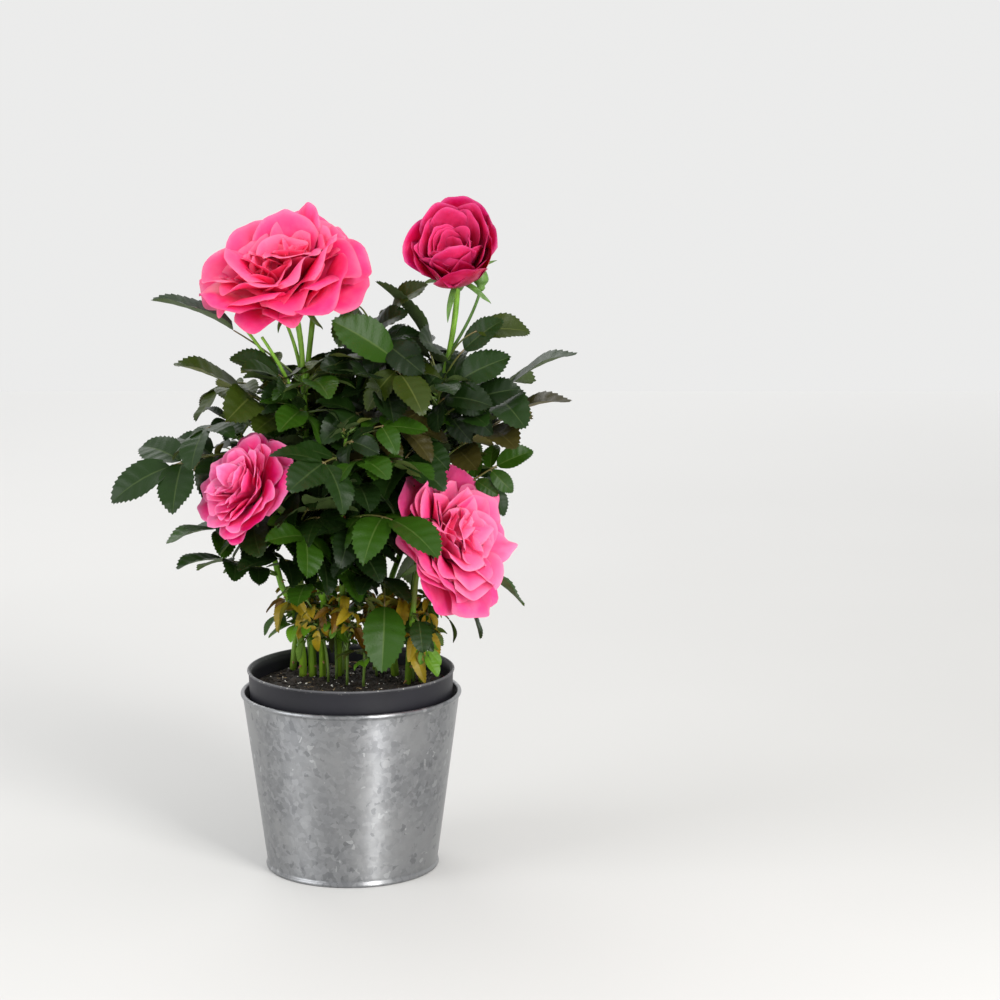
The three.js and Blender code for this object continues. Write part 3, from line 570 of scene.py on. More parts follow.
# %% Shoots
SHOOT_KEYS = ("foot", "knee", "joint", "bend", "tip", "girth", "turn", "leaves", "twigs")
SHOOT_ROWS = {
    "left": ((-29, 15), (-27, 12, 138), (-40, 4, 165), (-52, 8, 212), (-64, 6, 256),
             (2.3, 1.8, 1.1), 200, 3, 1),
    "front_left": ((-17, 10), (-17, 4, 138), (-15, -6, 158), (-22, -15, 186), (-34, -21, 209),
                   (2.0, 1.8, 1.5), 250, 3, 0),
    "top_left": ((-23.4, 16), (-23.4, 13, 140), (-22, 10, 166), (-24, 6, 230), (-26, 2, 292),
                 (2.5, 2.0, 1.5), 90, 5, 1),
    "centre": ((-8, 16), (-8, 8, 138), (-4, -8, 162), (-4, -20, 212), (0, -30, 258),
               (2.1, 1.8, 1.0), 30, 6, 1),
    "top_centre": ((25, 17), (22, 15, 140), (19, 12, 168), (15, 14, 240), (16, 12, 310),
                   (2.4, 1.9, 1.1), 0, 6, 1),
    "top_right": ((34, 8), (36, 7, 136), (36.5, 8, 164), (45, 5, 226), (54, 0, 286),
                  (2.5, 2.0, 1.5), 120, 5, 1),
    "right": ((41, 1), (41, 3, 138), (47, 9, 164), (56, 14, 200), (68, 12, 232),
              (2.1, 1.7, 1.0), 60, 4, 0),
    "front_right": ((33, -4), (34, -7, 132), (36, -9, 148), (37, -10, 158), (38, -10, 168),
                    (1.9, 1.7, 1.5), 330, 0, 0),
    "back_left": ((-36, 30), (-33, 34, 138), (-31, 38, 162), (-42, 50, 220), (-52, 56, 276),
                  (2.0, 1.8, 1.0), 150, 6, 2),
    "back": ((-5, 33), (-6, 37, 138), (-3, 43, 164), (2, 56, 225), (4, 62, 286),
             (2.2, 1.9, 1.0), 45, 6, 2),
    "back_right": ((13, 32), (15, 36, 138), (23, 40, 164), (44, 50, 220), (58, 52, 274),
                   (2.1, 1.8, 1.0), 0, 6, 2),
}
print("shoots:", list(SHOOT_ROWS))

# %% [markdown]
# The leaves that are named one by one give the crown its outline. Each row of them says
# where on the stem the leaf grows, where its tip is, how far it arches, how many leaflets
# it has and how far it is rolled. The shoots at the back have none, because they don't show.
# Then both tables are joined, and each cane and each stem becomes a bow.

# %% Leaves named one by one
NAMED_LEAVES = {
    "left": (
        (0.84, (-135, -20, 219), 11, 5, 0.6), (0.3, (-103, -25, 197), 6, 5, 0),
        (0.06, (-96, -35, 183), 6, 5, 0), (0.62, (-104, 12, 252), 8, 5, 0),
    ),
    "front_left": (
        (0.25, (-59, -52, 184), 9, 5, 0), (0.8, (-3, -62, 232), 8, 3, 0),
        (0.08, (-27, -56, 166), 9, 5, 0), (0.03, (-78, -37, 163), 8, 3, 0),
    ),
    "top_left": (
        (0.93, (-110, -5, 334), 6, 1, 0), (0.68, (-101, -15, 292), 5, 5, 0.4),
        (0.8, (-58, -34, 296), 7, 5, 0.5), (0.9, (8, -30, 302), 8, 5, 0),
    ),
    "centre": (
        (0.45, (58, -80, 210), 12, 5, 0), (0.75, (50, -66, 240), 8, 5, 0),
        (0.06, (52, -50, 170), 9, 5, 0), (0.55, (-6, -84, 208), 9, 5, 0),
    ),
    "top_centre": (
        (0.9, (44, -45, 272), 9, 5, -0.4), (0.97, (-4, -18, 300), 22, 1, 0),
        (0.94, (44, -26, 292), 14, 3, -0.9), (0.74, (24, -44, 272), 12, 3, 0),
        (0.03, (20, -47, 126), 12, 1, 0),
    ),
    "top_right": (
        (0.88, (106, -2, 313), 17, 5, -0.8), (0.7, (130, -10, 303), 4, 5, 0),
        (0.55, (127, -12, 276), 7, 5, 0), (0.9, (16, -8, 336), 8, 3, 0),
        (0.93, (94, -16, 297), 14, 3, -0.9), (0.8, (82, -34, 276), 14, 3, -0.6),
    ),
    "right": (
        (0.8, (102, 4, 246), 5, 5, -0.9), (0.12, (101, 4, 153), 8, 3, 0),
        (0.03, (76, 10, 132), 8, 3, 0),
    ),
    "front_right": ((0.1, (43, -44, 136), 9, 1, 0),),
}
CANE_FOOT = 108
CLEARANCE = 0.3
STEM_GAP = CLEARANCE + 0.35

SHOOTS = {}
for name, row in SHOOT_ROWS.items():
    shoot = dict(zip(SHOOT_KEYS, row), named=NAMED_LEAVES.get(name, ()))
    joint, bend = np.array(shoot["joint"], float), np.array(shoot["bend"], float)
    shoot["cane"] = bow((*shoot["foot"], CANE_FOOT), shoot["knee"], joint)
    shoot["stem"] = bow(joint + unit(bend - joint) * STEM_GAP, bend, shoot["tip"])
    SHOOTS[name] = shoot
print("named leaves:", sum(map(len, NAMED_LEAVES.values())))

# %% [markdown]
# Soil is a heap of crumbs. Its top is a fine polar grid that noise pushes up and down,
# with a small mound at the foot of each cane. Noise of two sizes gives lumps and grit. A
# flat disc with a bump in its material would look the same from above, but not at its edge.

# %% Soil surface
soil_low, soil_high = in_mm(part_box("soil"))
SOIL_RADIUS = 57.2
SOIL_RINGS = 64
SOIL_SINK = 0.9
MOUND_HEIGHT = 2.0
MOUND_REACH = 6.5
LUMPS = ((1.3, 7, 0), (0.7, 2.6, 5))


def soil_height(x, y):
    near = min(math.dist((x, y), shoot["foot"]) for shoot in SHOOTS.values())
    mound = MOUND_HEIGHT * math.exp(-((near / MOUND_REACH) ** 2))
    lumps = sum(height * noise.noise((x / width, y / width, layer)) for height, width, layer in LUMPS)
    return soil_high[2] - SOIL_SINK + mound + lumps


ground = Batch()
angles = np.linspace(0, 2 * math.pi, AROUND, endpoint=False)
points = [(0, 0, soil_height(0, 0))]
for radius in SOIL_RADIUS * np.arange(1, SOIL_RINGS + 1) / SOIL_RINGS:
    for angle in angles:
        x, y, _ = way_round(angle) * radius
        points.append((x, y, soil_height(x, y)))
points += [way_round(angle) * BASE_RADIUS * 0.95 + [0, 0, soil_low[2]] for angle in angles]
points.append((0, 0, soil_low[2]))
row, following = ring_of(AROUND)
starts = 1 + AROUND * np.arange(SOIL_RINGS + 1)
quads = [np.roll(ring_quads(outer, inner, AROUND), 1, axis=1) for inner, outer in zip(starts, starts[1:])]
top = np.stack([0 * row, 1 + row, 1 + following], 1)
underneath = np.stack([starts[-1] + following, starts[-1] + row, 0 * row + len(points) - 1], 1)
ground.add(points, np.concatenate(quads), np.concatenate([top, underneath]))
print("soil points:", len(points))

# %% [markdown]
# On the soil lie crumbs, white grains of perlite, shreds of straw and bits of bark. Each
# is a bent octahedron, the plainest solid that still looks like a grain. A seeded rule
# lays each somewhere on the heap, partly sunk. The same noise finish with two tints serves
# for all that is mottled, here and further on.

# %% Crumbs on the soil
OCTAHEDRON = np.array([(1, 0, 0), (0, 1, 0), (-1, 0, 0), (0, -1, 0), (0, 0, 1), (0, 0, -1)], float)
OCTAHEDRON_FACES = [(0, 1, 4), (1, 2, 4), (2, 3, 4), (3, 0, 4), (1, 0, 5), (2, 1, 5), (3, 2, 5), (0, 3, 5)]
EARTH, PERLITE, STRAW = 0, 1, 2
COARSE = {"scale": 420, "detail": 6, "start": 0.35, "depth": 0.5, "strength": 0.8}


def mottled(name, dark, light, rough, scale, detail, start, depth, strength):
    made = Finish(name, Roughness=rough)
    patches = made.noise(made.place(), scale, detail)
    made.paint(made.ramp(patches, (start, dark), (0.7, light)))
    made.relief(patches, depth, strength)
    return made.material


def scatter(count, smallest, largest, slot, stretch, seed):
    draw = seeded(seed)
    for _ in range(count):
        radius, angle = (SOIL_RADIUS - 3) * math.sqrt(draw()), 2 * math.pi * draw()
        x, y, _ = way_round(angle) * radius
        size = mix(smallest, largest, draw() ** 2)
        turn = 2 * math.pi * draw()
        shape = OCTAHEDRON * [size * stretch, size, size * 0.75]
        shape = shape * np.array([[mix(0.7, 1.2, draw())] for _ in range(6)])
        tilt = shape[:, 0] * mix(-0.25, 0.25, draw())
        cos, sin = math.cos(turn), math.sin(turn)
        wide, deep = shape[:, 0] * cos - shape[:, 1] * sin, shape[:, 0] * sin + shape[:, 1] * cos
        spun = np.stack([wide, deep, shape[:, 2] + tilt], 1)
        ground.add(spun + [x, y, soil_height(x, y) + 0.25 * size], triangles=OCTAHEDRON_FACES, slot=slot)


scatter(900, 0.5, 2.0, EARTH, 1.0, seed=11)
scatter(150, 0.35, 1.1, PERLITE, 1.1, seed=12)
scatter(90, 0.3, 0.7, STRAW, 7.0, seed=13)
scatter(60, 0.4, 0.9, EARTH, 5.0, seed=14)
soil_finishes = [
    mottled("damp soil", (0.006, 0.0045, 0.003), (0.032, 0.021, 0.013), 0.85, **COARSE),
    mottled("perlite", (0.62, 0.6, 0.55), (0.85, 0.83, 0.78), 0.8, **COARSE),
    mottled("straw", (0.16, 0.1, 0.045), (0.36, 0.26, 0.13), 0.7, **COARSE),
]
ground.build("soil_and_crumbs", soil_finishes, "potting_soil", ["soil"], smooth=False)

# %% [markdown]
# Canes and stems are limbs: a ring of points is set square to the line at each step. Real
# ones are not smooth pipes, so their thickness wavers a little. A curve object with a round
# bevel would be quicker, but its thickness can't waver from side to side. A prickle is a
# short limb that bends down to a point.

# %% Limbs
def limb(batch, path, radii, sides=10, slot=0, shades=None, rough=0.0):
    """A tube along the path. Without shades of its own it runs from 0 to 1."""
    path, radii = np.asarray(path, float), np.asarray(radii, float)
    chord = unit(path[-1] - path[0])
    reference = np.array([1.0, 0, 0]) if abs(chord[2]) > 0.6 else np.array([0, 0, 1.0])
    along = np.gradient(path, axis=0)
    along /= np.linalg.norm(along, axis=1, keepdims=True)
    first = reference - along * (along @ reference)[:, None]
    first /= np.linalg.norm(first, axis=1, keepdims=True)
    second = np.cross(along, first)
    angles = np.linspace(0, 2 * math.pi, sides, endpoint=False)
    ring = first[:, None] * np.cos(angles)[:, None] + second[:, None] * np.sin(angles)[:, None]
    steps = np.arange(len(path))[:, None]
    waver = np.sin(1.7 * steps + 2.1 * np.arange(sides) + 3 * np.sin(0.37 * steps))
    size = radii[:, None] * (1 + rough * waver)
    points = (path[:, None] + ring * size[:, :, None]).reshape(-1, 3)
    end = (len(path) - 1) * sides
    quads = [ring_quads(start, start + sides, sides) for start in range(0, end, sides)]
    caps = [(0, k + 1, k) for k in range(1, sides - 1)]
    caps += [(end, end + k, end + k + 1) for k in range(1, sides - 1)]
    shade = np.repeat(np.linspace(0, 1, len(path)) if shades is None else shades, sides)
    batch.add(points, np.concatenate(quads), caps, slot, shade)


def prickle(batch, root, way, size, slot):
    """A prickle is broad at its foot and bends down towards a sharp tip."""
    way = unit(way)
    path = [root + way * size * t + np.array([0, 0, -0.55 * size * t * t]) for t in (0, 0.35, 0.7, 1)]
    limb(batch, path, [0.36 * size, 0.2 * size, 0.09 * size, 0.02 * size], 6, slot)


trial = Batch()
limb(trial, [(0, 0, 0), (0, 0, 1)], [1, 1])
print("points of the shortest limb:", trial.count)

# %% [markdown]
# Each bloom stands on a stalk that leaves the tip of its stem and meets the bloom's hip
# along the bloom's own axis. Hip and axis repeat the construction's values. The reach is
# how far the petals go, which the leaves have to respect later on.

# %% Where the blooms stand
BLOOMS = {
    "bloom_top_left": dict(shoot="top_left", hip=(-31, 2, 329), axis=(-0.22, -0.47, 0.85), reach=52),
    "bloom_top_right": dict(shoot="top_right", hip=(62.5, -1, 342), axis=(-0.12, -0.66, 0.74), reach=28),
    "bloom_left": dict(shoot="front_left", hip=(-47, -29, 221), axis=(-0.66, -0.5, 0.56), reach=34),
    "bloom_right": dict(shoot="front_right", hip=(46, -15, 187), axis=(0.78, -0.5, 0.37), reach=46),
}
STALK_GAP = CLEARANCE + 0.05
for bloom in BLOOMS.values():
    shoot = SHOOTS[bloom["shoot"]]
    hip, axis, stem = np.array(bloom["hip"], float), unit(bloom["axis"]), shoot["stem"]
    heading = unit(stem(1) - stem(0.999))
    foot = stem(1) + heading * STALK_GAP
    rise = np.linalg.norm(foot - hip) / 2
    bend = (foot + heading * rise + hip - axis * rise) / 2
    shoot["stalk"] = bow(foot, bend, hip + axis)
    across = unit(np.array([1.0, 0, 0]) - axis * axis[0])
    bloom.update(hip=hip, axis=axis, basis=np.array([across, np.cross(axis, across), axis]))
print("blooms:", list(BLOOMS))

# %% [markdown]
# Rose bark is green while it is young. It is deepest near the soil and bright below the
# blooms, so its colour goes by the shade of the points, from 0 at the soil to 1 at the hip.
# Noise that is drawn out along the cane adds streaks, and a wide one the brown patches.

# %% Bark of canes and stems
SMOOTH = {"scale": 160, "detail": 3, "start": 0.3, "depth": 0.1, "strength": 0.5}


def bark():
    skin = Finish("green bark", Roughness=0.42, Specular_IOR_Level=0.25)
    streaks = skin.noise(skin.place((1, 1, 0.25)), 420, 4)
    patches = skin.noise(skin.place(), 34, 2)
    colour = skin.ramp(
        skin.shade(),
        (0.0, (0.13, 0.22, 0.012)),
        (0.25, (0.15, 0.32, 0.015)),
        (0.6, (0.12, 0.28, 0.015)),
        (1.0, (0.22, 0.44, 0.045)),
    )
    colour = skin.blend(skin.mask(streaks, (0.4, 0), (0.75, 0.55)), colour, (0.06, 0.11, 0.02))
    colour = skin.blend(skin.mask(patches, (0.56, 0), (0.72, 0.5)), colour, (0.17, 0.1, 0.035))
    skin.paint(colour)
    skin.relief(streaks, 0.15, 0.5)
    return skin.material


cane_finishes = [
    bark(),
    mottled("prickle", (0.2, 0.06, 0.03), (0.3, 0.16, 0.06), 0.4, **SMOOTH),
    mottled("cut end", (0.3, 0.24, 0.12), (0.42, 0.36, 0.2), 0.7, **SMOOTH),
]
print("finishes of the canes:", [finish.name for finish in cane_finishes])

# %% [markdown]
# One limb runs from the soil through joint and stem into the bloom's stalk, so that no seam
# shows. It swells where a leaf stands, and prickles sit on it here and there. Below the
# bloom at the top left, one shoot was cut off, which left a stub with a pale end, and three
# thin young stalks stand beside it.

# %% Canes, stems and stalks
BARK, PRICKLE, CUT = 0, 1, 2
CANE_STEPS, STEM_STEPS, STALK_STEPS = 18, 26, 16
STALK_RADIUS = 1.8
LEAF_SWELL = 0.35
SWELL_REACH = 1.8
BURIED = 1.5
PRICKLES = 9
CANE_SHARE = 0.45

canes = Batch()
for number, shoot in enumerate(SHOOTS.values()):
    foot, middle, tip = shoot["girth"]
    path = np.concatenate([samples(shoot["cane"], CANE_STEPS), samples(shoot["stem"], STEM_STEPS)])
    radii = [*np.linspace(foot, middle, CANE_STEPS + 1), *np.linspace(middle, tip, STEM_STEPS + 1)]
    shades = [*np.linspace(0, 0.4, CANE_STEPS + 1), *np.linspace(0.4, 0.8, STEM_STEPS + 1)]
    if "stalk" in shoot:
        path = np.concatenate([path, samples(shoot["stalk"], STALK_STEPS)[1:]])
        radii += [*np.linspace(tip, STALK_RADIUS, STALK_STEPS)]
        shades += [*np.linspace(0.85, 1, STALK_STEPS)]
    radii = np.array(radii)
    for at, *_ in shoot["named"]:
        near = np.linalg.norm(path - shoot["stem"](at), axis=1)
        radii += LEAF_SWELL * np.exp(-((near / SWELL_REACH) ** 2))
    path[0, 2] -= BURIED
    limb(canes, path, radii, 12, BARK, shades, rough=0.035)
    draw = draws("prickles", number)
    for _ in range(PRICKLES):
        share = draw()
        if share < CANE_SHARE:
            line, girth, at = shoot["cane"], foot, share / CANE_SHARE
        else:
            line, girth, at = shoot["stem"], middle, (share - CANE_SHARE) / (1 - CANE_SHARE)
        way = way_round(2 * math.pi * draw(), 0.1)
        prickle(canes, line(at) + way * girth * 0.8, way, mix(1.6, 2.8, draw()), PRICKLE)

STUB_AT = 0.86
STUB_TIP = (-20, 4, 320)
STUB_RADIUS = 1.6
bearer = SHOOTS["top_left"]["stem"]
stub = np.linspace(bearer(STUB_AT), STUB_TIP, 9)
limb(canes, stub, [STUB_RADIUS] * 9, 12, BARK, [0.5] * 9, rough=0.03)
limb(canes, [stub[-1] - [0, 0, 0.2], stub[-1] + [0, 0, 0.25]], [STUB_RADIUS * 0.9] * 2, 12, CUT)
YOUNG_STALKS = (
    (0.7, (-34, -2, 284), (-57, -4, 314)),
    (0.74, (-32, -6, 286), (-48, -10, 311)),
    (0.8, (-26, 6, 296), (-36, 8, 318)),
)
for at, bend, tip in YOUNG_STALKS:
    line = bow(bearer(at), bend, tip)
    limb(canes, samples(line, 12), np.linspace(1.35, 0.9, 13), 10, BARK, np.linspace(0.9, 1, 13))
canes.build("canes_and_stems", cane_finishes, "cane_bark", [f"cane_{name}" for name in SHOOTS])

# %% [markdown]
# Now the leaves of the solids are found again. Each leaf of the rule was tried up to some
# times with numbers of its own until it touched nothing. Which try was kept isn't written
# down anywhere, but the tip of a kept leaf is a corner of the solid. A KD-tree finds the
# nearest corner of a solid fast, so each try's tip is looked up there.

# %% Corners of the solid masses
TIP_MATCH_MM = 0.12
corners = {}
for name in SHOOTS:
    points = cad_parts[f"leaves_{name}"].data.vertices
    corners[name] = KDTree(len(points))
    for index, point in enumerate(points):
        corners[name].insert(point.co / MM, index)
    corners[name].balance()


def first_kept(name, tries, rule, *plan):
    """The first try of a leaf whose tip is a corner of the solid, if there is one."""
    for attempt in range(tries):
        leaf = rule(*plan, attempt)
        if corners[name].find(leaf["tip"])[2] < TIP_MATCH_MM:
            return leaf
    return None


print("masses whose corners are known:", len(corners))

# %% [markdown]
# A named leaf goes from its place on the stem to its tip, and each further try nudges the
# tip a little more. A filling leaf leaves the stem at a bearing, hangs lower the lower it
# grows, and changes its bearing more with each try. A twig is a short bowed line.

# %% The rule for named leaves, twigs and filling leaves
CROWN_HEIGHT = 180


def way_out(bearing, climb):
    """A direction by its bearing and climb in degrees."""
    turn, lift = math.radians(bearing), math.radians(climb)
    return np.array([math.cos(turn) * math.cos(lift), math.sin(turn) * math.cos(lift), math.sin(lift)])


def bearing_of(way):
    return math.degrees(math.atan2(way[1], way[0]))


def named_try(shoot, plan, number, place, attempt):
    at, tip, arch, leaflets, roll = plan
    draw = seeded(seed_of("named", number, 40 * place) + attempt)
    nudge = np.array([draw() - 0.5, draw() - 0.5, draw() - 0.5])
    roll, tip = roll + 0.4 * (draw() - 0.5), tip + nudge * 2 * attempt
    return dict(root=shoot["stem"](at), tip=tip, arch=arch, leaflets=leaflets, roll=roll)


def fill_try(root, bearing, seed, attempt):
    draw = seeded(seed + attempt)
    turn = bearing + (24 + 6 * attempt) * (draw() - 0.5)
    climb = mix(-50, -8, (root[2] - CANE_FOOT) / CROWN_HEIGHT) + 30 * (draw() - 0.5)
    length = mix(54, 72, draw()) * (1 - 0.005 * attempt)
    arch = mix(8, 15, draw())
    tip = root + way_out(turn, climb) * length
    return dict(root=root, tip=tip, arch=arch, leaflets="fill", roll=1.2 * (draw() - 0.5))


def twig_try(shoot, number, k, attempt):
    draw = seeded(seed_of("twig", number, 40 * k) + attempt)
    foot = shoot["stem"](mix(0.3, 0.75, (k + draw()) / shoot["twigs"]))
    way = way_out(shoot["turn"] + 180 * k + 60 * (draw() - 0.5), mix(25, 50, draw()))
    tip = foot + way * mix(28, 40, draw())
    return bow(foot, (foot + tip) / 2 - [0, 0, 3], tip)


print("a way out at bearing 90, climb 30:", np.round(way_out(90, 30), 2).tolist())

# %% [markdown]
# The search goes shoot by shoot in the old order. A twig was kept if at least one of its
# three leaves was. What is found is a plain list of leaves with root, tip, arch, leaflets
# and roll, which is all that the finer leaves need.

# %% Find every leaf again
NAMED_TRIES = 16
TWIG_TRIES = 12
FILL_TRIES = 60
GOLDEN_ANGLE = 137.5
HIGHEST_LEAF = 0.96
LEAF_SPREAD = 0.86
TWIG_LEAVES = ((0.97, 0), (0.6, 75), (0.4, -80))


def leaves_of_twig(line, name, number, k):
    bearing = bearing_of(line(1) - line(0.999))
    found = []
    for place, (at, turn) in enumerate(TWIG_LEAVES):
        seed = seed_of("twig_leaf", number, 100 * k + 30 * place)
        found.append(first_kept(name, FILL_TRIES, fill_try, line(at), bearing + turn, seed))
    return [leaf for leaf in found if leaf]


leaves, twigs = [], []
for number, (name, shoot) in enumerate(SHOOTS.items()):
    for place, plan in enumerate(shoot["named"]):
        leaf = first_kept(name, NAMED_TRIES, named_try, shoot, plan, number, place)
        if leaf:
            leaves.append({**leaf, "key": (name, place)})
    for turn in range(shoot["leaves"]):
        root = shoot["stem"](HIGHEST_LEAF - LEAF_SPREAD * turn / max(shoot["leaves"], 4))
        bearing, seed = shoot["turn"] + GOLDEN_ANGLE * turn, seed_of("stem_leaf", number, 40 * turn)
        leaf = first_kept(name, FILL_TRIES, fill_try, root, bearing, seed)
        if leaf:
            leaves.append(leaf)
    for k in range(shoot["twigs"]):
        for attempt in range(TWIG_TRIES):
            line = twig_try(shoot, number, k, attempt)
            found = leaves_of_twig(line, name, number, k)
            if found:
                twigs.append(line)
                leaves += found
                break
print("leaves found again:", len(leaves), "twigs:", len(twigs))

# %% [markdown]
# A rose leaf is compound: leaflets in pairs along a stalk, and one at its end. Each
# leaflet is a grid that is folded along its midrib, arched, and quilted between its side
# veins. Its rim has teeth that point forward. The lower side is a second grid that meets
# the first along the rim, so that the leaf has a real thickness and an underside of
# another colour. The two don't share corners, which keeps the gloss clean up to the rim.

# %% The grid of a leaflet
STATIONS = 24
VEINS = 6
COLUMNS = np.array([-1, -0.58, -0.045, 0.045, 0.58, 1])
WIDEST = 0.42
TOP, MIDRIB, UNDERSIDE = 0, 1, 2

station = np.arange(1, STATIONS)
leaflet_along = np.repeat(station / STATIONS, len(COLUMNS)).reshape(-1, len(COLUMNS))
leaflet_across = np.tile(COLUMNS, (STATIONS - 1, 1))
is_rim = np.abs(leaflet_across) == 1
is_tooth = (station % 2 == 0)[:, None] & is_rim
is_notch = (station % 2 == 1)[:, None] & is_rim
leaflet_outline = (leaflet_along / WIDEST) ** 0.56 * ((1 - leaflet_along) / (1 - WIDEST)) ** 1.06
beside_midrib = 4 * np.abs(leaflet_across) * (1 - np.abs(leaflet_across))
quilting = np.sin(math.pi * VEINS * leaflet_along) ** 2 * beside_midrib


def grid_quads(numbers):
    """Quads between the numbered points of a grid."""
    sides = numbers[:-1, :-1], numbers[:-1, 1:], numbers[1:, 1:], numbers[1:, :-1]
    return np.stack(sides, -1).reshape(-1, 4)


def two_sided(quads, points_above):
    """The quads of the upper side, and the same turned over for the lower side."""
    return np.concatenate([quads, quads[:, [0, 3, 2, 1]] + points_above])


def leaflet_faces():
    """The first two points are the foot and the tip, and the grid lies between them."""
    wide, rows = len(COLUMNS), STATIONS - 1
    sheet = 2 + rows * wide
    grid = 2 + np.arange(rows * wide).reshape(rows, wide)
    quads = grid_quads(grid)
    foot = np.stack([0 * grid[0, :-1], grid[0, 1:], grid[0, :-1]], -1)
    tip = np.stack([grid[-1, :-1], grid[-1, 1:], 0 * grid[-1, :-1] + 1], -1)
    triangles = np.concatenate([foot, tip])
    upper = np.where(np.arange(wide - 1) == wide // 2 - 1, MIDRIB, TOP)
    slots = {
        QUAD: np.concatenate([np.tile(upper, rows - 1), np.full(len(quads), UNDERSIDE)]),
        TRIANGLE: np.concatenate([upper, upper, np.full(len(triangles), UNDERSIDE)]),
    }
    return two_sided(quads, sheet), np.concatenate([triangles, triangles[:, ::-1] + sheet]), slots


leaflet_quads, leaflet_triangles, leaflet_slots = leaflet_faces()
print("faces of one leaflet:", len(leaflet_quads) + len(leaflet_triangles))

# %% [markdown]
# The same grid serves for every leaflet. Drawn numbers change how much it folds, curls,
# arches and waves, so that no two are alike. A modifier stack could do this for one
# leaflet, but not for thousands with different numbers in one mesh.

# %% One leaflet
FULL_TURN = 6.28
LEAF_THICKNESS = 0.3
VEIN_LEAN = 0.55
TOOTH_AHEAD = 0.5
NOTCH_BACK = 0.25
NOTCH_IN = 0.08
QUILT_DEPTH = 0.022


def blade(batch, base, way, up, length, half_breadth, draw, teeth=1.0, fold=0.24, curl=0.12):
    along, across = leaflet_along, leaflet_across
    way = unit(way)
    side = unit(np.cross(way, up))
    normal = np.cross(side, way)
    phase, waviness = FULL_TURN * draw(), 0.03 * length * mix(0.4, 1.3, draw())
    fold, curl = fold * mix(0.6, 1.5, draw()), curl * mix(0.2, 1.8, draw())
    arch = 0.05 * mix(0.4, 1.6, draw())
    shift = VEIN_LEAN * np.abs(across) * along * (1 - along)
    forward = along + shift + teeth * (TOOTH_AHEAD * is_tooth - NOTCH_BACK * is_notch) / STATIONS
    breadth = half_breadth * leaflet_outline * across * (1 - NOTCH_IN * teeth * is_notch)
    rise = fold * np.abs(breadth) + length * (arch * 4 * forward * (1 - forward) - curl * forward * forward)
    rise += waviness * np.sin(9 * along + phase) * across**2
    rise += QUILT_DEPTH * length * quilting * np.sin(math.pi * along)
    top = base + way * (length * forward)[..., None] + side * breadth[..., None] + normal * rise[..., None]
    low = top - normal * (LEAF_THICKNESS * (1.2 - across**2))[..., None]
    ends = [base, base + way * length - normal * curl * length]
    points = np.concatenate([ends, top.reshape(-1, 3), ends, low.reshape(-1, 3)])
    batch.add(points, leaflet_quads, leaflet_triangles, leaflet_slots)


trial = Batch()
blade(trial, np.zeros(3), (1, 0, 0), (0, 0, 1), 30, 10, seeded(1))
print("a leaflet of 30 mm reaches to", np.round(trial.points[0].max(axis=0), 1).tolist(), "mm")

# %% [markdown]
# The rule for a whole leaf follows the construction: the leaf arches from root to tip. The
# filling leaves of the solids have three large leaflets. Here they get five, which end on
# the same tips. Each leaflet has a short stalk, and two narrow stipules clasp the root.
# A batch for each tint collects the leaflets, and one more collects all the stalks.

# %% Whole leaves
LEAF_PLANS = {
    1: {"pairs": (), "end": 0.5},
    3: {"pairs": ((0.32, 0.5),), "end": 0.44},
    5: {"pairs": ((0.22, 0.36), (0.45, 0.42)), "end": 0.54},
    "fill": {"pairs": ((0.24, 0.42), (0.47, 0.48)), "end": 0.5},
}
LEAFLET_BREADTH = 0.31
PAIR_ASIDE = 0.9
SOCKET = 1.3
WITHERED = {"yellow": 0.8, "rusty": 0.7}
WITHERED_SHAPE = {"fold": 0.55, "curl": 0.4}
RACHIS_RADII = np.linspace(0.75, 0.42, 9) * [1.35, *[1] * 8]
TINT_NAMES = ("dark", "deep", "green", "olive", "bronze", "young", "yellow", "rusty")
foliage = {tint: Batch() for tint in TINT_NAMES}
sprigs = Batch()


def leaf_of(tint, root, tip, arch, leaflets, roll, draw, size=1.0):
    plan = LEAF_PLANS[leaflets]
    chord = tip - root
    length = np.linalg.norm(chord)
    forward = unit(chord)
    level = unit([forward[1], -forward[0], 0])
    side = level * math.cos(roll) + np.cross(level, forward) * math.sin(roll)
    up = np.cross(side, forward)
    batch, breadth = foliage[tint], LEAFLET_BREADTH * size * WITHERED.get(tint, 1)
    shape = WITHERED_SHAPE if tint in WITHERED else {}

    def spine(s):
        return root + chord * s + up * arch * 4 * s * (1 - s)

    stations = np.linspace(0, plan["end"], 9)
    limb(sprigs, [spine(s) for s in stations], RACHIS_RADII, 6, 0, np.linspace(0, 1, 9))
    end = spine(plan["end"])
    reach = np.linalg.norm(tip - end)
    blade(batch, end, tip - end, up, reach, reach * breadth, draw, **{"curl": 0.04, **shape})
    for s, share in plan["pairs"]:
        heading = unit(chord + up * arch * 4 * (1 - 2 * s))
        for hand in (-side, side):
            way = unit(heading * mix(0.3, 0.55, draw()) + hand * PAIR_ASIDE - up * mix(0.1, 0.5, draw()))
            base = spine(s + 0.015 * (draw() - 0.5))
            reach = share * length * mix(0.9, 1.06, draw()) - SOCKET
            stalk = base + way * 1.6
            limb(sprigs, [base, stalk], [0.42, 0.4], 5, 0, [0.6, 0.8])
            lean = unit(up + hand * mix(-0.25, 0.2, draw()) + heading * 0.2 * (draw() - 0.5))
            blade(batch, stalk - way * 0.3, way, lean, reach, reach * breadth, draw, **shape)
    for hand in (-side, side):
        end = root + forward * 7 + hand * 2
        limb(sprigs, [root, (root + end) / 2 + hand * 0.4, end], [0.5, 0.9, 0.05], 5, 0, [0.2, 0.1, 0])


print("batches of leaflets:", list(foliage))

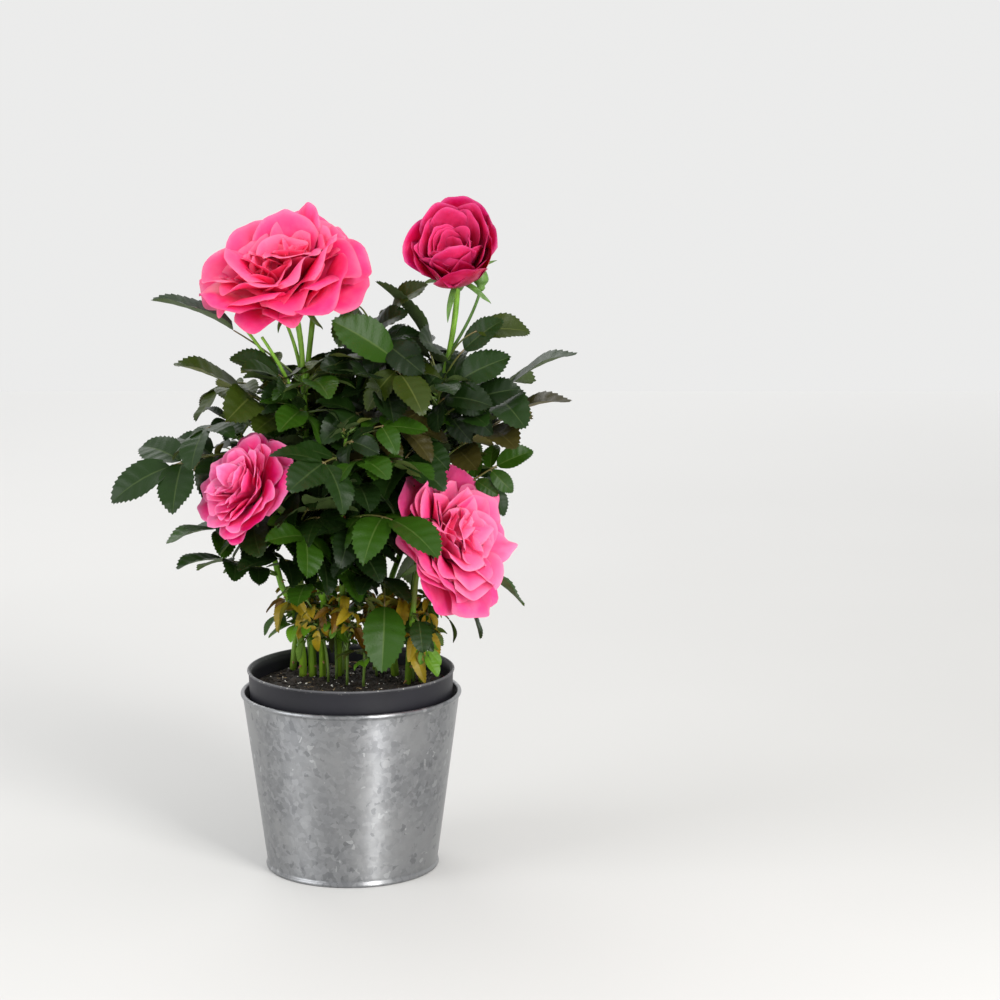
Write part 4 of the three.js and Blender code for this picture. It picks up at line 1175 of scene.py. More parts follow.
# %% [markdown]
# Colour goes by leaf. A rose bush carries dark old leaves, fresher green ones, a few of
# olive and bronze, and low down some that wither. Each leaf takes one plain tint, which
# stays true when the mesh is exported. A leaf that the photograph shows clearly is named
# by its shoot and its place in that shoot's list. Two tips are shifted by some millimetres
# from their solids, to where the photograph shows those leaves.

# %% Tints of the leaves
NAMED_TINTS = {
    ("left", 0): "dark", ("left", 1): "green", ("left", 3): "deep", ("front_left", 0): "deep",
    ("front_left", 1): "dark", ("front_left", 3): "dark", ("top_left", 0): "dark", ("top_left", 1): "olive",
    ("top_centre", 0): "olive", ("top_centre", 1): "green", ("top_centre", 4): "green",
    ("top_right", 0): "olive", ("top_right", 1): "dark", ("top_right", 2): "bronze",
    ("right", 0): "green", ("right", 1): "green", ("right", 2): "dark", ("front_right", 0): "dark",
}
SHIFTED_TIPS = {("centre", 0): (-5, 0, -11), ("centre", 2): (-16, 0, -3)}
TINT_SHARES = (("dark", 0.35), ("deep", 0.62), ("green", 0.85), ("olive", 0.94), ("bronze", 1.0))


def dealt_tint(draw):
    share = draw()
    return next(tint for tint, limit in TINT_SHARES if share <= limit)


for order, leaf in enumerate(leaves):
    draw = draws("found", order)
    key = leaf.get("key")
    leaf["tip"] = leaf["tip"] + SHIFTED_TIPS.get(key, (0, 0, 0))
    tint = NAMED_TINTS.get(key) or dealt_tint(draw)
    leaf_of(tint, leaf["root"], leaf["tip"], leaf["arch"], leaf["leaflets"], leaf["roll"], draw)
for line in twigs:
    limb(sprigs, samples(line, 10), np.linspace(1.1, 0.8, 11), 8, 0, np.zeros(11))
print("leaves placed:", len(leaves))

# %% [markdown]
# Between and beside the two upper blooms the bush shows large leaves from their faces.
# They are placed one by one: shoot, place on the stem, tip, arch, leaflets, roll and tint.
# A place beyond 1 lies on the bloom's stalk. A roll of a right angle turns a leaf's upper
# side to the front.

# %% Leaves seen from their faces
FACING = (
    ("top_centre", 0.97, (46, -12, 341), 7, 1, -1.0, "olive"),
    ("top_centre", 0.95, (34, -16, 326), 8, 3, -1.2, "deep"),
    ("top_centre", 0.9, (42, -20, 304), 8, 3, -1.1, "dark"),
    ("top_right", 0.9, (-8, -22, 322), 7, 1, 1.3, "green"),
    ("top_centre", 0.85, (-14, -26, 296), 9, 3, 1.0, "deep"),
    ("top_right", 1.12, (104, -8, 315), 16, 1, -0.8, "olive"),
    ("top_right", 0.88, (92, -22, 302), 9, 3, -1.2, "dark"),
    ("top_right", 0.78, (98, -24, 284), 9, 5, -1.0, "deep"),
    ("top_right", 0.97, (88, -16, 322), 7, 1, -1.2, "dark"),
    ("top_right", 0.86, (34, 12, 300), 8, 3, 1.1, "dark"),
    ("top_left", 0.85, (-66, -14, 300), 7, 3, 0.9, "dark"),
    ("left", 0.95, (-58, -16, 280), 8, 3, 0.9, "deep"),
    ("centre", 0.9, (20, -58, 252), 9, 5, -0.8, "deep"),
)
for order, (name, at, tip, arch, leaflets, roll, tint) in enumerate(FACING):
    draw = draws("facing", order)
    root = SHOOTS[name]["stem"](at) if at <= 1 else SHOOTS[name]["stalk"](at - 1)
    leaf = {"root": root, "tip": np.array(tip, float)}
    leaf_of(tint, root, leaf["tip"], arch, leaflets, roll + 0.3 * (draw() - 0.5), draw)
    leaves.append(leaf)
print("leaves seen from their faces:", len(FACING))

# %% [markdown]
# The solids have fewer leaves than the bush. Smaller ones grow here on the same stems, by
# the same kind of rule, inside the same crown. One that would reach into a bloom, hide
# one from the front or crowd another leaf is skipped. So is one in the openings, given as
# seen from the front, where the photograph shows the wall through the bush.

# %% Room for more leaves
CROWN = {"centre": (0, 6, 238), "reach": (98, 108, 86)}
OPENINGS = ((70, 247, 34, 17), (-96, 264, 24, 17), (-30, 166, 26, 14), (30, 166, 20, 14))
ROOM = 13.0
MIDDLE = 0.6
middles = [leaf["root"] + (leaf["tip"] - leaf["root"]) * MIDDLE for leaf in leaves]


def in_crown(point):
    return np.sum(((point - CROWN["centre"]) / CROWN["reach"]) ** 2) < 0.96


def in_an_opening(points):
    return any(((x - middle_x) / wide) ** 2 + ((z - middle_z) / high) ** 2 < 1
               for middle_x, middle_z, wide, high in OPENINGS for x, _, z in points)


def meets_a_bloom(points):
    for bloom in BLOOMS.values():
        heart = bloom["hip"] + bloom["axis"] * 14
        for point in points:
            aside = point - bloom["hip"]
            height = aside @ bloom["axis"]
            spread = np.linalg.norm(aside - bloom["axis"] * height)
            if -8 < height < 40 and spread < bloom["reach"] * 1.02:
                return True
            if point[1] < heart[1] and math.dist(point[[0, 2]], heart[[0, 2]]) < bloom["reach"] * 0.8:
                return True
    return False


print("leaves that need room already:", len(middles))

# %% [markdown]
# Sixteen roots are tried along each stem and three along each twig. Each root gets some
# tries, and the first that fits is kept. The golden angle turns each root on from the one
# before, as it does on real stems, so that the leaves shade one another as little as they
# can.

# %% More leaves inside the crown
EXTRA_PER_STEM = 16
EXTRA_TRIES = 14
EXTRA_ON_TWIG = ((0.8, 40), (0.5, -40), (0.3, 60))


def extra_leaf(stem, at, bearing, draw):
    root = stem(at)
    for _ in range(EXTRA_TRIES):
        climb = mix(-46, 4, (root[2] - CANE_FOOT) / CROWN_HEIGHT) + 44 * (draw() - 0.5)
        way = way_out(bearing + 70 * (draw() - 0.5), climb)
        tip = root + way * mix(44, 66, draw())
        middle = root + (tip - root) * MIDDLE
        clear = min(math.dist(middle, other) for other in middles) > ROOM
        seen = [middle, tip]
        if clear and in_crown(tip) and not meets_a_bloom(seen) and not in_an_opening(seen):
            middles.append(middle)
            arch, roll = mix(5, 12, draw()), 1.1 * (draw() - 0.5)
            leaf_of(dealt_tint(draw), root, tip, arch, "fill" if draw() < 0.75 else 3, roll, draw)
            return 1
    return 0


extra = 0
for number, shoot in enumerate(SHOOTS.values()):
    draw = draws("stem_extra", number)
    for k in range(EXTRA_PER_STEM):
        at = mix(0.02, 0.97, (k + draw()) / EXTRA_PER_STEM)
        extra += extra_leaf(shoot["stem"], at, shoot["turn"] + GOLDEN_ANGLE * (k + 0.5), draw)
for number, line in enumerate(twigs):
    draw = draws("twig_extra", number)
    for at, turn in EXTRA_ON_TWIG:
        extra += extra_leaf(line, at, bearing_of(line(1) - line(0)) + turn, draw)
print("smaller leaves added:", extra)

# %% [markdown]
# Every stem and twig that ends in no bloom ends in young growth: three small leaves that
# stand close round its tip. Without them each tip would be a bare stick.

# %% Young growth on the tips of stems and twigs
tips = [shoot["stem"] for shoot in SHOOTS.values() if "stalk" not in shoot] + twigs
for number, line in enumerate(tips):
    draw = draws("young", number)
    end, ahead = line(1), unit(line(1) - line(0.9))
    for k in range(3):
        turn = math.radians(120 * k + 60 * draw())
        way = unit(ahead * mix(0.5, 1.2, draw()) + way_round(turn, 0.1))
        tint = "deep" if k else "olive"
        leaf_of(tint, end - ahead * k, end + way * mix(14, 24, draw()), 2, 3, draw() - 0.5, draw)
print("tips that carry young growth:", len(tips))

# %% [markdown]
# Low down, where little light comes, leaves wither. They turn yellow and then rusty brown,
# fold up and curl. Those that the photograph shows are listed: shoot, place on the cane,
# tip, arch, leaflets and tint. A few small ones more hang on every cane, dealt by the rule.

# %% Withered and young leaves low down
LOW_LEAVES = (
    ("front_left", 0.95, (-8, -22, 143), 5, 3, "rusty"),
    ("front_left", 0.7, (-20, -12, 130), 4, 3, "yellow"),
    ("top_left", 0.8, (-30, -10, 140), 4, 3, "yellow"),
    ("top_left", 0.95, (-43, -6, 140), 4, 3, "yellow"),
    ("centre", 0.9, (-2, -24, 156), 6, 3, "yellow"),
    ("centre", 0.7, (12, -22, 130), 6, 1, "rusty"),
    ("top_centre", 0.85, (33, -20, 148), 5, 3, "yellow"),
    ("top_centre", 0.95, (22, -14, 163), 5, 3, "olive"),
    ("top_right", 0.62, (52, -12, 128), 6, 3, "yellow"),
    ("top_right", 0.4, (41, -24, 121), 4, 1, "yellow"),
    ("front_right", 0.45, (51, -22, 117), 6, 1, "young"),
    ("front_right", 0.7, (36, -30, 132), 5, 3, "yellow"),
    ("back", 0.8, (-12, 66, 136), 5, 3, "yellow"),
    ("back_right", 0.7, (30, 62, 130), 6, 3, "rusty"),
    ("left", 0.7, (-50, 0, 136), 5, 3, "green"),
    ("right", 0.75, (60, 8, 130), 6, 1, "green"),
)
LOW_TINTS = ("green", "olive", "dark", "yellow", "green", "rusty", "young")
LOW_PER_CANE = 4
LOWEST_TIP = CANE_FOOT + 10


def pick(choices, draw):
    return choices[int(draw() * len(choices))]


for order, (name, at, tip, arch, leaflets, tint) in enumerate(LOW_LEAVES):
    draw = draws("low", order)
    root, roll = SHOOTS[name]["cane"](at), 1.2 * (draw() - 0.5)
    leaf_of(tint, root, np.array(tip, float), arch, leaflets, roll, draw, size=0.95)
low = len(LOW_LEAVES)
for number, shoot in enumerate(SHOOTS.values()):
    draw = draws("low_small", number)
    for _ in range(LOW_PER_CANE):
        root = shoot["cane"](mix(0.5, 0.98, draw()))
        tip = root + way_out(360 * draw(), mix(-60, 5, draw())) * mix(20, 36, draw())
        tint = pick(LOW_TINTS, draw)
        if tip[2] > LOWEST_TIP and np.linalg.norm(tip[:2]) < SOIL_RADIUS and not meets_a_bloom([tip]):
            leaf_of(tint, root, tip, mix(2, 5, draw()), 5, 1.6 * (draw() - 0.5), draw, size=0.9)
            low += 1
print("low leaves:", low)

# %% [markdown]
# Between the canes stand weak young shoots, thin and bright green, that never grew up into
# the light. Each leans out from the soil, crosses its neighbours and carries a few small
# leaves, which are the freshest on the plant, or the first to wither.

# %% Weak shoots
WEAK_SHOOTS = 11
WEAK_TINTS = ("young", "green", "olive", "yellow", "young", "rusty")
WEAK_REACH = 55
for number in range(WEAK_SHOOTS):
    draw = draws("weak_shoot", number)
    bearing, away = math.radians(GOLDEN_ANGLE * number + 30 * draw()), mix(8, 38, draw())
    foot = way_round(bearing) * away + [0, 8, CANE_FOOT]
    lean = np.array([mix(-16, 16, draw()), mix(-18, 8, draw()), mix(30, 58, draw())])
    line = bow(foot, foot + [0, 0, lean[2] * 0.6], foot + lean)
    limb(sprigs, samples(line, 10), np.linspace(0.85, 0.5, 11), 7, 0, np.full(11, 0.15))
    for k in range(4):
        way = way_out(360 * draw(), mix(-5, 40, draw()))
        root = line(0.45 + 0.18 * k)
        if np.linalg.norm((root + way * 20)[:2]) < WEAK_REACH:
            tint = pick(WEAK_TINTS, draw)
            leaf_of(tint, root, root + way * mix(14, 24, draw()), 2, 3, 1.4 * (draw() - 0.5), draw)
print("weak shoots:", WEAK_SHOOTS)

# %% [markdown]
# Leaf finishes. The top of a rose leaf is a dark green with a waxy gloss. The underside is
# paler and matt. Both keep one plain colour for each tint, and the fine relief between the
# smallest veins comes from a Voronoi pattern in the shader's bump. The stalks change from
# green at the stem to reddish brown at the last leaflet, by the shade of their points.

# %% Leaf finishes
TINTS = {
    "dark": ((0.009, 0.027, 0.003), (0.065, 0.100, 0.028)),
    "deep": ((0.005, 0.015, 0.002), (0.050, 0.078, 0.024)),
    "green": ((0.019, 0.058, 0.0025), (0.09, 0.14, 0.03)),
    "olive": ((0.026, 0.042, 0.003), (0.12, 0.14, 0.03)),
    "bronze": ((0.034, 0.029, 0.005), (0.10, 0.09, 0.025)),
    "young": ((0.085, 0.200, 0.010), (0.15, 0.27, 0.04)),
    "yellow": ((0.280, 0.200, 0.010), (0.24, 0.22, 0.03)),
    "rusty": ((0.170, 0.085, 0.006), (0.17, 0.09, 0.02)),
}


def leaf_finish(name, colour, rough, depth):
    leaf = Finish(name, Roughness=rough, Specular_IOR_Level=0.22, Base_Color=(*colour, 1))
    leaf.relief(leaf.cells(leaf.place(), 900), depth, 0.5)
    return leaf.material


def sprig_green():
    stalk = Finish("leaf stalk", Roughness=0.45)
    stalk.paint(stalk.ramp(
        stalk.shade(),
        (0, (0.10, 0.19, 0.025)),
        (0.5, (0.11, 0.14, 0.028)),
        (1, (0.13, 0.085, 0.03)),
    ))
    stalk.relief(stalk.noise(stalk.place(), 700, 2), 0.1, 0.4)
    return stalk.material


leaf_nodes = [f"leaves_{name}" for name in SHOOTS]
for tint, batch in foliage.items():
    top, under = TINTS[tint]
    midrib = [mix(a, b, 0.4) for a, b in zip(top, under)]
    finishes = [
        leaf_finish(f"{tint} leaf", top, 0.4, 0.12),
        leaf_finish(f"{tint} midrib", midrib, 0.5, 0.05),
        leaf_finish(f"{tint} underside", under, 0.6, 0.15),
    ]
    batch.build(f"leaflets_{tint}", finishes, "leaf", leaf_nodes)
sprigs.build("twigs_and_leaf_stalks", [sprig_green()], "leaf", leaf_nodes)

# %% [markdown]
# Petals. Each is a grid again: it leans out from the bloom's axis, more and more towards
# its rim, is cupped across, and its rim rolls back and ruffles. Whorls of such petals,
# large outside and small inside, make a double rose. The inner and outer faces meet along
# the rim without sharing corners, so that no dark line is drawn there.

# %% The grid of a petal
PETAL_ROWS = 14
PETAL_COLUMNS = 16
PETAL_THICKNESS = 0.45
PETAL_FOOT = 0.03

columns, rows = np.linspace(-1, 1, PETAL_COLUMNS + 1), np.linspace(PETAL_FOOT, 1, PETAL_ROWS + 1)
petal_across, petal_along = np.meshgrid(columns, rows)
numbers = np.arange(petal_across.size).reshape(petal_across.shape)
petal_quads = two_sided(grid_quads(numbers), numbers.size)
petal_body = 1.15 - petal_across**4 - petal_along**6 + (petal_across**4) * petal_along**6
print("faces of one petal:", len(petal_quads))

# %% [markdown]
# A petal's line from foot to rim is an arc: its lean changes evenly along its length, which
# gives a height and a distance from the axis in closed form. Across that arc the petal is
# offset by its width and pushed in or out by its depth: cup, waves, twist and rolled edge.
# Some petals also come to a point in the middle of their rim, as those of real roses do.

# %% The surface of a petal
ROLL_FROM = 0.72
POINT_BREADTH = 0.28


def petal_surface(petal, lift):
    """The points of one face of a petal, which lies off its middle by the lift."""
    across, along, phase = petal_across, petal_along, petal["phase"]
    foot = math.radians(petal["lean"][0])
    turn = math.radians(petal["lean"][1]) - foot
    lean = foot + turn * along * (1 - 0.04 * across**2 - 0.24 * across**4)
    point = np.exp(-((across / POINT_BREADTH) ** 2))
    length = petal["length"] * (1 + petal["point"] * point * along**3)
    out = petal["start"] + length * (math.cos(foot) - np.cos(lean)) / turn
    rise = petal["lift"] + length * (np.sin(lean) - math.sin(foot)) / turn
    offset = across * petal["width"] * 1.05 * along**0.6 * (1 - 0.12 * along**6)
    swell = np.sin(2.7 * across + phase) + 0.3 * along**2 * np.sin(6 * across + 2.3 * phase)
    wave = petal["ruffle"] * along**2 * swell
    wave += 0.3 * along**2 * np.sin(10 * across + petal["crease"])
    wave += 0.5 * along**6 * np.cos(4 * across + 2 * phase)
    edge = np.clip((along - ROLL_FROM) / (1 - ROLL_FROM), 0, 1) ** 1.6 * (1 - 5 * petal["point"] * point)
    cup = offset**2 / (2 * petal["cup"]) * (1 - 0.3 * along**2)
    depth = cup + wave + petal["twist"] * offset * along - petal["roll"] * edge + lift
    radius = out - np.cos(lean) * depth
    height = rise + np.sin(lean) * depth
    cos, sin = math.cos(petal["azimuth"]), math.sin(petal["azimuth"])
    return np.stack([radius * cos - offset * sin, radius * sin + offset * cos, height], -1) + petal["eye"]


def add_petal(batch, bloom, petal, tone):
    """Both faces of a petal, with a shade that grows from its foot to its thin rim. The low shade at the foot
    gives its painted shade.
    """
    half = PETAL_THICKNESS / 2 * petal_body
    faces = np.concatenate([petal_surface(petal, lift).reshape(-1, 3) for lift in (half, -half)])
    rim = np.clip(np.maximum(petal_along, abs(petal_across)) / 0.1 - 9, 0, 1)
    shades = np.tile((petal_along * 0.5 + 0.2 * rim * petal_along**2).ravel() + tone, 2)
    batch.add(faces @ bloom["basis"] + bloom["hip"], petal_quads, shades=np.clip(shades, 0, 1))


print("points of one petal:", 2 * petal_body.size)

# %% [markdown]
# The four blooms differ. The one at the top left is wide open and loose, the one at the
# top right is a half-open cup, the left one is a flat rosette of many small petals, and
# the right one is broad and quartered. Each row is a whorl, from the outside in: petals,
# turn, start radius, lift, length, width, lean at foot and rim, cup, ruffle and roll.
# A bloom's own whorls are the construction's, grown again with its numbers and its stagger.
# More whorls fill the bloom between them, and rows of one petal shape its outline. The
# inner whorls stand round an eye; the two broad blooms have two eyes side by side, as
# double roses often do. Points say how far petals come to a tip.

# %% Whorls of the upper blooms
WHORL_KEYS = ("petals", "turn", "start", "lift", "length", "width", "lean", "cup", "ruffle", "roll")
BLOOM_PLANS = {
    "bloom_top_left": dict(
        seed=5, stagger=8, points=0.08, eyes=((-10, -4, -1), (9, 7, 2)),
        reaches=((262, -0.3), (200, 0.05), (290, -0.14), (15, -0.12)),
        own=(
            (6, 20, 5, 2, 48, 28, (56, 74), 44, 4.6, 3.0),
            (6, 50, 4, 7, 45, 25, (42, 60), 30, 4.6, 3.2),
            (4, 15, 3, 11, 31, 16, (16, 30), 15, 2.0, 1.0),
        ),
        more=(
            (6, 48, 5, 4, 47, 25, (52, 70), 34, 4.8, 3.2),
            (6, 15, 4, 8, 40, 21, (34, 52), 20, 4.2, 3.0),
            (1, 92, 5, 4, 45, 19, (34, 48), 15, 3.0, 2.5),
            (1, 58, 5, 4, 54, 14, (25, 42), 30, 3.0, 1.5),
            (1, 36, 5, 4, 47, 18, (38, 54), 13, 3.0, 2.5),
            (1, 350, 5, 2, 45, 20, (64, 88), 40, 3.0, 2.5),
        ),
        inner=(
            (5, 30, 2, 9, 32, 15, (24, 44), 10, 2.4, 1.6),
            (4, 50, 1, 10, 25, 10, (6, 22), 6, 1.8, 1.0),
            (3, 10, 0.5, 10, 21, 6, (-4, 8), 4, 1.2, 0.5),
        ),
    ),
    "bloom_top_right": dict(
        seed=9, stagger=4, points=0.07, eyes=((0, 0, 0),),
        reaches=((150, -0.10), (80, 0.16), (225, -0.2), (190, -0.14), (325, -0.22)),
        own=(
            (5, 0, 4, 1, 41, 18, (57, -2), 24, 0.9, 1.6),
            (4, 45, 4, 6, 37, 16, (46, 2), 19, 0.9, 0.8),
            (3, 12, 3, 10, 28, 11, (24, 4), 11, 0.5, 0.3),
        ),
        more=(
            (5, 36, 4, 3, 39, 17, (51, 0), 20, 0.9, 1.0),
            (4, 5, 4, 6, 36, 15, (42, 3), 18, 0.7, 0.6),
            (4, 50, 3, 7, 33, 13, (35, 4), 14, 0.7, 0.5),
        ),
        inner=(
            (3, 10, 2, 9, 25, 10, (27, 3), 9, 0.8, 0.3),
            (2, 60, 1, 10, 20, 7, (14, 2), 5, 0.5, 0.2),
        ),
    ),
}
print("whorls are described for", list(BLOOM_PLANS))

# %% [markdown]
# The lower blooms are written down in the same way. The left one has many whorls of small
# petals, which makes a rosette. The right one is broad: its large petals lean far out, and
# four rows of one petal fill its outline on one side.

# %% Whorls of the lower blooms
BLOOM_PLANS |= {
    "bloom_left": dict(
        seed=21, stagger=8, points=0.08, eyes=((2, 0, 0),),
        reaches=((240, -0.12), (60, 0.04)),
        own=(
            (6, 0, 5, 2, 29, 16, (62, 80), 28, 1.1, 1.2),
            (6, 30, 4, 6, 27, 13, (44, 58), 20, 1.3, 0.8),
            (4, 8, 3, 10, 19, 9, (16, 28), 10, 1.0, 0.4),
        ),
        more=(
            (7, 25, 5, 3, 30, 15, (56, 76), 26, 1.3, 1.2),
            (7, 5, 4, 5, 28, 12, (48, 66), 18, 1.4, 1.0),
            (7, 30, 3, 7, 25, 10, (34, 50), 13, 1.4, 0.8),
        ),
        inner=(
            (6, 12, 3, 8, 25, 10, (30, 44), 7, 1.2, 0.6),
            (4, 45, 2, 9, 22, 8, (14, 26), 5, 1.0, 0.4),
            (3, 0, 1, 10, 17, 6, (0, 12), 4, 0.8, 0.3),
        ),
    ),
    "bloom_right": dict(
        seed=34, stagger=8, points=0.14, eyes=((6, 0, 0), (-13, 3, 0)),
        reaches=((214, -0.26), (262, -0.24), (300, 0.06), (338, -0.14)),
        own=(
            (6, 30, 5, 2, 45, 23, (60, 80), 40, 3.2, 2.8),
            (6, 0, 4, 7, 37, 20, (42, 58), 26, 3.0, 2.6),
            (4, 25, 3, 11, 26, 13, (14, 26), 13, 2.0, 1.0),
        ),
        more=(
            (7, 4, 5, 4, 44, 22, (52, 72), 36, 3.2, 2.8),
            (7, 32, 4, 8, 37, 18, (34, 52), 22, 2.8, 2.4),
            (1, 172, 5, 5, 43, 20, (46, 62), 24, 2.5, 2.0),
            (1, 150, 5, 5, 41, 18, (40, 56), 20, 2.5, 2.0),
            (1, 200, 5, 4, 44, 19, (46, 64), 30, 2.5, 2.0),
            (1, 232, 5, 4, 42, 19, (42, 60), 30, 2.5, 2.0),
        ),
        inner=(
            (5, 12, 2, 9, 33, 14, (26, 42), 9, 2.6, 1.6),
            (4, 60, 1, 10, 26, 10, (8, 22), 6, 1.8, 1.0),
        ),
    ),
}
for name, plan in BLOOM_PLANS.items():
    print(name, "whorls:", len(plan["own"]) + len(plan["more"]) + len(plan["eyes"]) * len(plan["inner"]))

# %% [markdown]
# A whorl deals its petals evenly round the axis, and draws a small change of angle, lean
# and length for each, so that none repeats. Every other petal leans out further, so that
# neighbours overlap. Each reach lengthens or shortens the petals towards one angle, which
# makes a bloom as uneven as a real one.

# %% The petals of a whorl
REACH_POWER = 6


def reach_towards(reaches, azimuth):
    """How long the petals are at this angle, as a share of their plain length."""
    toward = [(max(0, math.cos(math.radians(azimuth - bearing))), change) for bearing, change in reaches]
    return 1 + sum(change * facing**REACH_POWER for facing, change in toward)


def petals_of(whorl, stagger, order, draw, reaches=(), eye=(0, 0, 0)):
    plan = dict(zip(WHORL_KEYS, whorl))
    for k in range(plan["petals"]):
        azimuth = plan["turn"] + 360 * k / plan["petals"] + 6 * (draw() - 0.5)
        tilt = (0.5 if k % 2 == 0 else -0.5) * stagger + 3 * (draw() - 0.5)
        length = plan["length"] * mix(0.93, 1.07, draw()) * reach_towards(reaches, azimuth)
        lean = [angle + tilt for angle in plan["lean"]]
        yield dict(plan, azimuth=math.radians(azimuth), lean=lean, length=length, phase=FULL_TURN * draw(),
                   order=order, eye=eye)


trial = ((90, 0.2),)
print("petals at a reach of 0.2 and away from it:", reach_towards(trial, 90), reach_towards(trial, 270))

# %% [markdown]
# Petal finish. A petal is soft and lets some light through, which the subsurface share of
# its material gives. Its foot is painted deeper as shade, where its neighbours shade it, and
# it is palest at its thin rim. The colour runs along the petal by the shade stored in the
# mesh. Image textures could hold this too, but they would have to be unwrapped petal by petal.

# %% Petal finishes
# For each bloom: foot, middle and rim colour. The foot colour is painted shade for the deep gaps between
# petals.
PETAL_COLOURS_WITH_PAINTED_SHADE = {
    "bloom_top_left": ((0.80, 0.006, 0.08), (0.91, 0.028, 0.165), (0.98, 0.15, 0.29)),
    "bloom_top_right": ((0.16, 0.001, 0.012), (0.43, 0.002, 0.05), (0.90, 0.06, 0.23)),
    "bloom_left": ((0.80, 0.003, 0.13), (0.88, 0.009, 0.18), (0.99, 0.26, 0.50)),
    "bloom_right": ((0.74, 0.006, 0.11), (0.86, 0.045, 0.21), (0.97, 0.20, 0.37)),
}
SOFT_LIGHT = {
    "Subsurface_Weight": 0.38,
    "Subsurface_Radius": (1.0, 0.25, 0.35),
    "Subsurface_Scale": 3.5 * MM,
}


def petal_finish(name, foot, middle, rim):
    petal = Finish(name, Roughness=0.5, Specular_IOR_Level=0.22, **SOFT_LIGHT)
    place = petal.place()
    # The foot stop paints shade at the petals' feet.
    colour = petal.ramp(petal.shade(), (0.08, foot), (0.36, middle), (0.54, middle), (1.0, rim))
    tinge = petal.mask(petal.noise(place, 90, 4), (0.45, 0), (0.75, 0.45))
    petal.paint(petal.blend(tinge, colour, rim))
    petal.relief(petal.noise(place, 500, 3), 0.12, 0.4)
    return petal.material


def short(name):
    return name.removeprefix("bloom_")


petal_finishes = {name: petal_finish(f"petal {short(name)}", *tints) for name, tints in PETAL_COLOURS_WITH_PAINTED_SHADE.items()}
print("petal finishes:", [finish.name for finish in petal_finishes.values()])

# %% [markdown]
# Now the blooms are put together. The construction drew some numbers for its sepals before
# its petals, so the same count is drawn and left. Own whorls use its run of numbers and all
# others a fresh one. The order of a whorl sets its tone: inner petals are a little paler.

# %% Build the blooms
SEPAL_DRAWS = 10
OWN_ORDERS = (-0.25, 0.4, 0.8)
MORE_STAGGER = 14
INNER_STAGGER = 10
ONE_PETAL_ORDER = 0.1

for number, (name, plan) in enumerate(BLOOM_PLANS.items()):
    draw, fresh = seeded(plan["seed"]), draws("petals", number)
    for _ in range(SEPAL_DRAWS):
        draw()
    petals = []
    for order, whorl in zip(OWN_ORDERS, plan["own"]):
        petals += petals_of(whorl, plan["stagger"], order, draw, plan["reaches"])
    for k, whorl in enumerate(plan["more"]):
        order = ONE_PETAL_ORDER if whorl[0] == 1 else 0.2 + 0.25 * k
        petals += petals_of(whorl, MORE_STAGGER, order, fresh, plan["reaches"])
    for eye in plan["eyes"]:
        for k, whorl in enumerate(plan["inner"]):
            petals += petals_of(whorl, INNER_STAGGER, 0.75 + 0.15 * k, fresh, eye=eye)
    batch = Batch()
    for petal in petals:
        petal["twist"], petal["crease"] = mix(-0.04, 0.2, fresh()), FULL_TURN * fresh()
        petal["roll"] *= mix(0, 2.2, fresh())
        petal["width"] *= mix(0.8, 1.1, fresh())
        petal["point"] = plan["points"] * fresh()
        add_petal(batch, BLOOMS[name], petal, 0.1 * fresh() + 0.32 * petal["order"])
    batch.build(f"petals_{short(name)}", [petal_finishes[name]], "petal", [name])

# %% [markdown]
# Under the petals sit the green hip and five sepals, which bend back once a bloom is open.
# The table gives the length of each bloom's sepals and how far they fall back. Beside the
# half-open bloom a green bud stands on a thin stalk of its own. Hip and bud are turned
# shapes, as the pots are, and a sepal is a narrow leaflet without teeth.

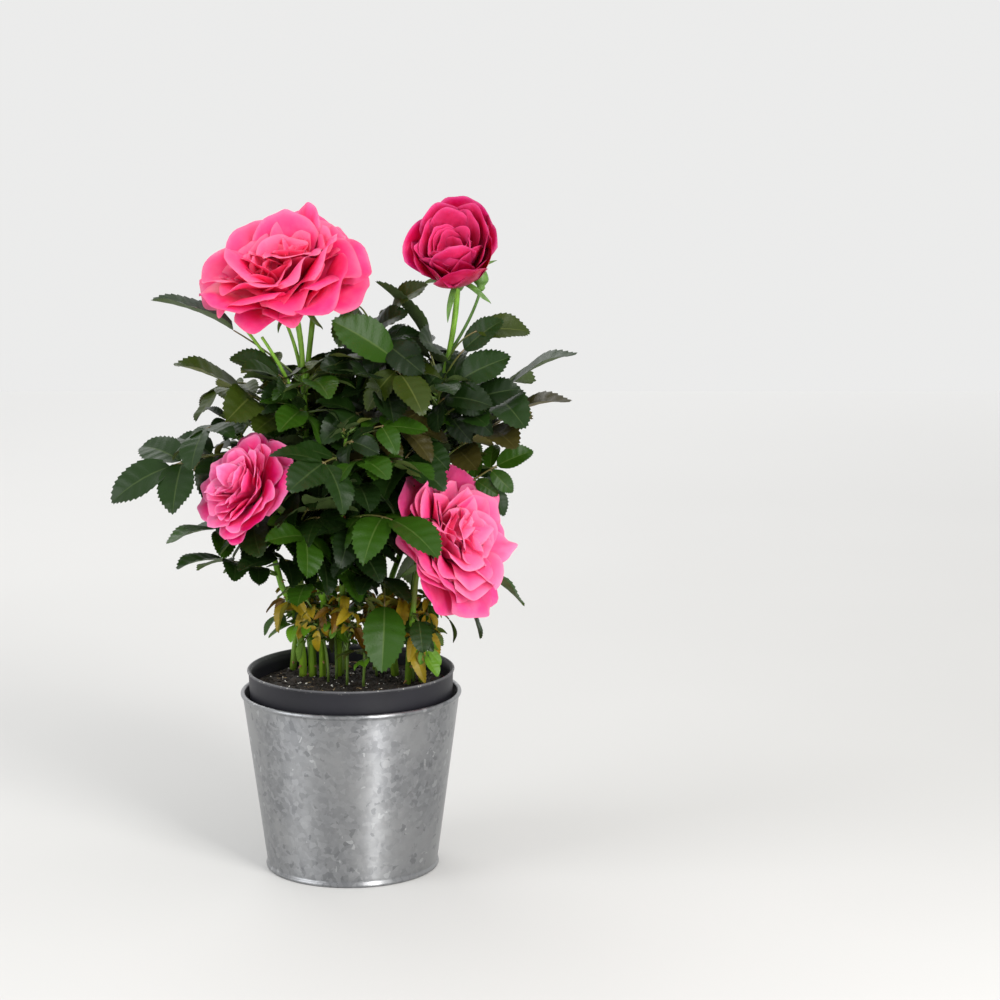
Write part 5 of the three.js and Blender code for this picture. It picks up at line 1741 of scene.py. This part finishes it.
# %% Hips, sepals and the bud
HIP = [(0, -7.5), (1.9, -7), (3.0, -5), (3.6, -2.5), (3.4, -0.5), (4.0, 1.5), (3.2, 3), (0, 3.4)]
SEPALS = {
    "bloom_top_left": (22, 0.3),
    "bloom_top_right": (23, -0.25),
    "bloom_left": (17, 0.3),
    "bloom_right": (20, 0.3),
}
SEPAL_COUNT = 5
SEPAL_TURN = 72
BUD_AT = 0.22
BUD_BEND = (71, 4, 320)
BUD_TIP = np.array([75.5, 1, 337])
BUD_RADIUS = 4.6
BUD = [
    (0, -1.5), (1.4, -1), (2.6, 0.6), (2.2, 1.8), (BUD_RADIUS * 0.9, 4), (BUD_RADIUS, 5.6),
    (BUD_RADIUS * 0.88, 8), (BUD_RADIUS * 0.6, 11), (BUD_RADIUS * 0.3, 13.8), (0, 16),
]
greenery = Batch()


def turned_at(batch, outline, origin, basis):
    """A small turned shape, moved to its origin and turned to its basis."""
    own = Batch()
    turned(own, outline, around=20)
    batch.add(own.points[0] @ basis + origin, own.faces[QUAD][0], own.faces[TRIANGLE][0])


for number, (name, bloom) in enumerate(BLOOMS.items()):
    draw = draws("sepals", number)
    turned_at(greenery, HIP, bloom["hip"], bloom["basis"])
    length, fall = SEPALS[name]
    for k in range(SEPAL_COUNT):
        angle = math.radians(SEPAL_TURN * k + 18 + 20 * draw())
        way = way_round(angle, -mix(-0.2, 0.45, draw()) - fall) @ bloom["basis"]
        blade(greenery, bloom["hip"] + way, way, bloom["axis"], length, 1.8, draw, teeth=0, curl=0.25)
pedicel = bow(SHOOTS["top_right"]["stalk"](BUD_AT), BUD_BEND, BUD_TIP)
limb(greenery, samples(pedicel, 14), np.linspace(0.95, 0.85, 15), 8)
turned_at(greenery, BUD, BUD_TIP, np.eye(3))
draw = draws("bud")
for k in range(SEPAL_COUNT):
    out = way_round(math.radians(SEPAL_TURN * k))
    base, way = BUD_TIP + out * 2.6 + [0, 0, 2], out * 0.12 + [0, 0, 1]
    blade(greenery, base, way, -out, 15, 2.6, draw, teeth=0, curl=-0.1)
FINE = {**SMOOTH, "scale": 240}
calyx_green = mottled("calyx green", (0.06, 0.14, 0.02), (0.11, 0.23, 0.035), 0.45, **FINE)
pale_green = mottled("sepal inside", (0.2, 0.3, 0.13), (0.3, 0.4, 0.2), 0.6, **FINE)
greenery.build("hips_and_sepals", [calyx_green, calyx_green, pale_green], "leaf", list(BLOOMS))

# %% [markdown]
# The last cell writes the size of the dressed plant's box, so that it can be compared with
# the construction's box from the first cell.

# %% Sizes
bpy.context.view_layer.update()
print("dressed box in mm:", np.round(in_mm(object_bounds())).tolist())
